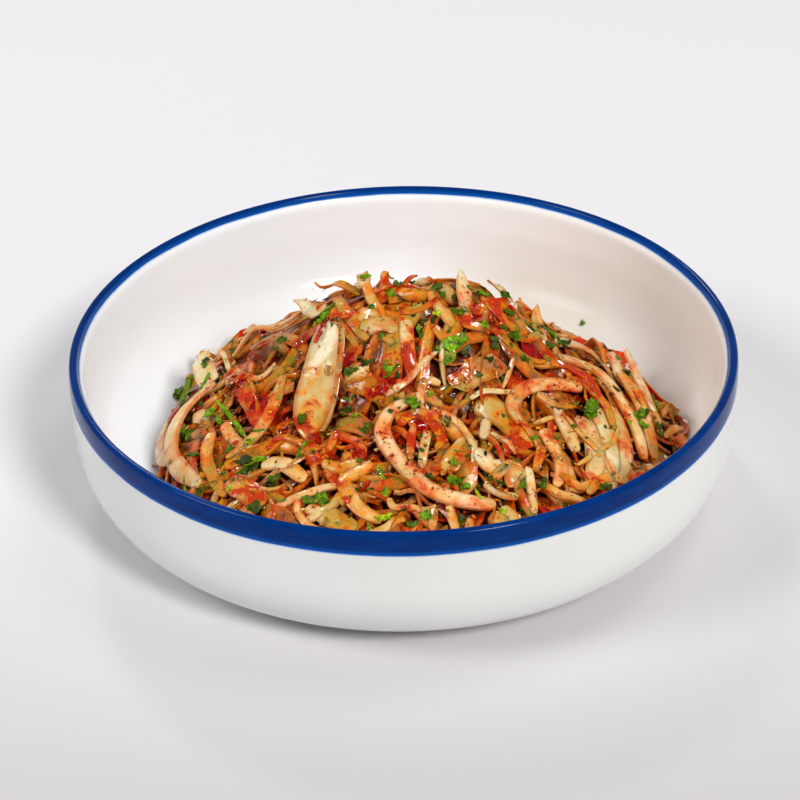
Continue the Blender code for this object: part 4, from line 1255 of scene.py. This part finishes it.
def makeLeaves(pile):
    def leaf(local, spot):
        return drape(pile, local, *spot, leafOutline, 0.2 * mm, draws.uniform(0.2, 0.9) * mm, 0.35,
                     crinkle=0.28 * mm)

    def bit(local, spot):
        return drape(pile, local, *spot, leafOutline, 0.18 * mm, draws.normal(0.2, 0.5) * mm, 0.5,
                     crinkle=0.1 * mm)

    big = []
    behind = []
    while len(behind) < herbs["leavesBehind"]:
        x, y = (place / mm for place in randomSpot())
        if y > herbs["behind"]:
            length, width = draws.uniform(3, 6), draws.uniform(2, 4)
            behind.append((x, y, length, width, draws.uniform(0, 360), draws.uniform(0.2, 0.6)))
    for x, y, length, width, heading, fresh in [*leavesByHand, *behind]:
        size = math.sqrt(length * width)
        for _ in range(1 if size < 3.2 else 2 if size < 4.5 else 4):  # a bigger piece is several leaflets
            around = draws.uniform(-0.5, 0.5, 2) * 0.55
            turn = math.radians(heading)
            u, v = around[0] * length, around[1] * width
            share = draws.uniform(0.6, 0.9)
            px = (x + u * math.cos(turn) - v * math.sin(turn)) * mm
            py = (y + u * math.sin(turn) + v * math.cos(turn)) * mm
            spot = (px, py, length * share * mm, width * share * 1.15 * mm, turn + draws.normal(0, 0.5))
            tone = float(np.clip(fresh + draws.normal(0, 0.12), 0, 1))
            big.append((lambda local, s=spot: leaf(local, s), (tone, 0.0, 0.0)))
    writeDiscs(pile, "parsleyLeaves", 22, big, choppedParsley())
    bits = []
    for number in range(herbs["leafBits"]):
        size = draws.lognormal(math.log(1.7), 0.45) * mm
        fresh = float(np.clip(draws.normal(0.24, 0.2), 0, 0.85))
        place = lowSpot(pile) if number % 3 else randomSpot()
        spot = (*place, size, size * draws.uniform(0.35, 0.9), draws.uniform(0, fullTurn))
        bits.append((lambda local, s=spot: bit(local, s), (fresh, 0.0, 0.0)))
    writeDiscs(pile, "parsleyBits", 10, bits, choppedParsley())


def makeScraps(pile, material):
    # crumbs of onion that the knife left, pressed in between the strips
    def scrap(local, spot):
        return drape(pile, local, *spot, smearOutline, 0.25 * mm, draws.normal(0.4, 0.6) * mm, 0.4, 0.05 * mm,
                     0.12 * mm)

    scraps = []
    for _ in range(herbs["scraps"]):
        size = draws.lognormal(math.log(1.8), 0.4) * mm
        place = min((lowSpot(pile), lowSpot(pile)), key=lambda spot: standsProud(pile, spot))
        spot = (*place, size, size * draws.uniform(0.35, 0.9), draws.uniform(0, fullTurn))
        tone = (draws.uniform(0.2, 0.9), draws.uniform(0.4, 1.2), draws.uniform())
        scraps.append((lambda local, s=spot: scrap(local, s), tone))
    writeDiscs(pile, "onionScraps", 10, scraps, material)


flakeShape = {"count": 2800, "typical": 0.55, "uneven": 0.3, "shape": (1.0, 0.65, 0.3), "faceted": True}
dropShape = {"count": 900, "typical": 0.8, "uneven": 0.04, "shape": (1.0, 0.8, 0.5), "faceted": False}


def makeCrumbs(pile, name, material, count, typical, uneven, shape, faceted):
    # tiny things strewn over the heap, some of them near the splashes of dressing
    crumb = bmesh.new()
    bmesh.ops.create_icosphere(crumb, subdivisions=1 if faceted else 2, radius=0.5)
    templateMesh = bpy.data.meshes.new("template")
    crumb.to_mesh(templateMesh)
    crumb.free()
    stretch = np.array(shape)
    local = np.array([v.co for v in templateMesh.vertices])
    points, tones = [], []
    for _ in range(count):
        x, y = randomSpot()
        size = draws.lognormal(math.log(typical), 0.45) * mm
        if draws.uniform() < herbs["clumped"]:
            near = smearsByHand[draws.integers(len(smearsByHand))]
            x, y = (near[k] * mm + draws.normal(0, 0.8 * near[2]) * mm for k in (0, 1))
            size = size * 1.1
        lump = local * (1 + draws.uniform(-uneven, uneven, (len(local), 1))) * stretch * size
        turn = draws.uniform(0, fullTurn)
        c, s = math.cos(turn), math.sin(turn)
        px, py = x + lump[:, 0] * c - lump[:, 1] * s, y + lump[:, 0] * s + lump[:, 1] * c
        gx, gy = float(readGrid(pile["slopeX"], x, y)), float(readGrid(pile["slopeY"], x, y))
        base = float(readGrid(pile["height"], x, y)) + 0.12 * size
        points.append(np.column_stack([px, py, base + lump[:, 2] + gx * (px - x) + gy * (py - y)]))
        tones.append(np.tile((draws.uniform(), 0, 0), (len(local), 1)))
    allPoints = np.vstack(points)
    allPoints[:, 2] = np.minimum(allPoints[:, 2], topLimit)
    mesh = joinCopies(name, templateMesh, len(points))
    writePoints(mesh, allPoints, {"tone": np.vstack(tones)}, sharp=50 if faceted else 180)
    bpy.data.meshes.remove(templateMesh)
    finishSalad(name, mesh, material, len(points))


def makeFloor():
    floor = bmesh.new()
    bmesh.ops.create_grid(floor, x_segments=1, y_segments=1, size=3.0)
    mesh = bpy.data.meshes.new("floor")
    floor.to_mesh(mesh)
    floor.free()
    material, shader, add = newMaterial("paleTable")
    place = add("TexCoord")["Object"]
    y = add("SeparateXYZ", (place,))["Y"]
    # painted shade: the floor is darker towards the front, lighter at the back
    back = add("MapRange", {"Value": y, "From Min": -0.25, "From Max": 0.3})[0]
    setInputs(shader, {
        "Base Color": add("ValToRGB", (back,), ((0.0, "#B4B1B4"), (0.45, "#E4E2E4"), (1.0, "#E8E7E9")))[0],
        "Roughness": 0.6,
    })
    mesh.materials.append(material)
    obj = bpy.data.objects.new("floor", mesh)
    bpy.context.scene.collection.objects.link(obj)


def addLight(name, place, target, size, power, colour="#FFFFFF", glint=True):
    light = bpy.data.lights.new(name, "AREA")
    light.shape = "DISK"
    light.size = size
    light.energy = power
    light.color = linear(colour)[:3]
    obj = bpy.data.objects.new(name, light)
    obj.location = place
    obj.visible_glossy = glint
    obj.rotation_euler = (Vector(target) - Vector(place)).to_track_quat("-Z", "Y").to_euler()
    bpy.context.scene.collection.objects.link(obj)


def makeLights():
    # a soft dome, darker overhead, with a big window-like lamp at the front right, a weaker one at the left,
    # one overhead that no gloss shows, and a small one behind for the glints
    world = bpy.data.worlds.new("studio")
    world.use_nodes = True
    tree = world.node_tree
    direction = addNode(tree, "TexCoord")["Generated"]
    height = addNode(tree, "SeparateXYZ", (direction,))["Z"]
    dome = addNode(tree, "ValToRGB", (height,), ((0.0, 1.0), (0.35, 0.8), (0.8, 0.5)))[0]
    setInputs(tree.nodes["Background"], {"Color": dome, "Strength": 0.31})
    bpy.context.scene.world = world
    bpy.context.scene.view_settings.view_transform = "Standard"  # plain colours, as product pictures have
    middle = (0, 0, 0.03)
    addLight("window", (1.7, -2.7, 2.8), middle, 1.1, 130, "#FFFDFA")
    addLight("sky", (-2.8, -0.9, 2.6), middle, 1.6, 68, "#FAFBFF")
    addLight("ceiling", (1.5, 0.9, 3.7), middle, 1.8, 29, "#FFFFFF", glint=False)
    addLight("glints", (-0.7, 2.7, 2.3), middle, 0.5, 14, "#FFFFFF")


def makeCamera():
    # a long lens, looking down on the bowl by 31 degrees
    elevation = 0.5453  # radians
    roll = -0.0198
    distance = 7.0 * lipRadius
    middle = Vector((0, 0, rimZ))
    place = middle + distance * Vector((0, -math.cos(elevation), math.sin(elevation)))
    target = middle + lipRadius * Vector((-0.0126, 0, -0.2183))
    forward = (target - place).normalized()
    right = forward.cross(Vector((0, 0, 1))).normalized()
    up = right.cross(forward)
    turnedRight = right * math.cos(roll) + up * math.sin(roll)
    turnedUp = up * math.cos(roll) - right * math.sin(roll)
    camera = bpy.data.cameras.new("camera")
    camera.lens = 104.8  # millimetres
    camera.clip_start = 0.01
    obj = bpy.data.objects.new("camera", camera)
    axes = Matrix((turnedRight, turnedUp, -forward)).transposed()
    obj.matrix_world = Matrix.Translation(place) @ axes.to_4x4()
    bpy.context.scene.collection.objects.link(obj)
    bpy.context.scene.camera = obj


print("bowl")
makeBowl()
print("core")
makeCore()
print("filling the pile")
pile = startPile()
fillPile(pile, pileFill["strips"], pileFill["short"], pileFill["brown"], pileFill["stained"])
fillPile(pile, pileFill["topStrips"], pileFill["topShort"], pileFill["topBrown"], pileFill["topStained"],
         pileFill["topKick"], handCover())
layByHand(pile)
layStalks(pile)
refreshSlopes(pile)
pile["skin"] = blurGrid(pile["height"], softness)
pile["splash"] = splashGrid()
print("onion")
onion = slicedOnion()
writeStrips(pile, "loose", "onionLoose", onion)
writeStrips(pile, "strip", "onionStrips", onion)
writeStrips(pile, "leaf", "onionLeaves", onion)
print("herbs, chilli and dressing")
writeStrips(pile, "stalk", "parsleyStalks", choppedParsley())
makeSmears(pile)
makeLeaves(pile)
makeCrumbs(pile, "chilliFlakes", crushedChilli(), **flakeShape)
makeCrumbs(pile, "juiceDrops", onionJuice(), **dropShape)
makeScraps(pile, onion)
print("stage, lights and camera")
makeFloor()
makeLights()
makeCamera()
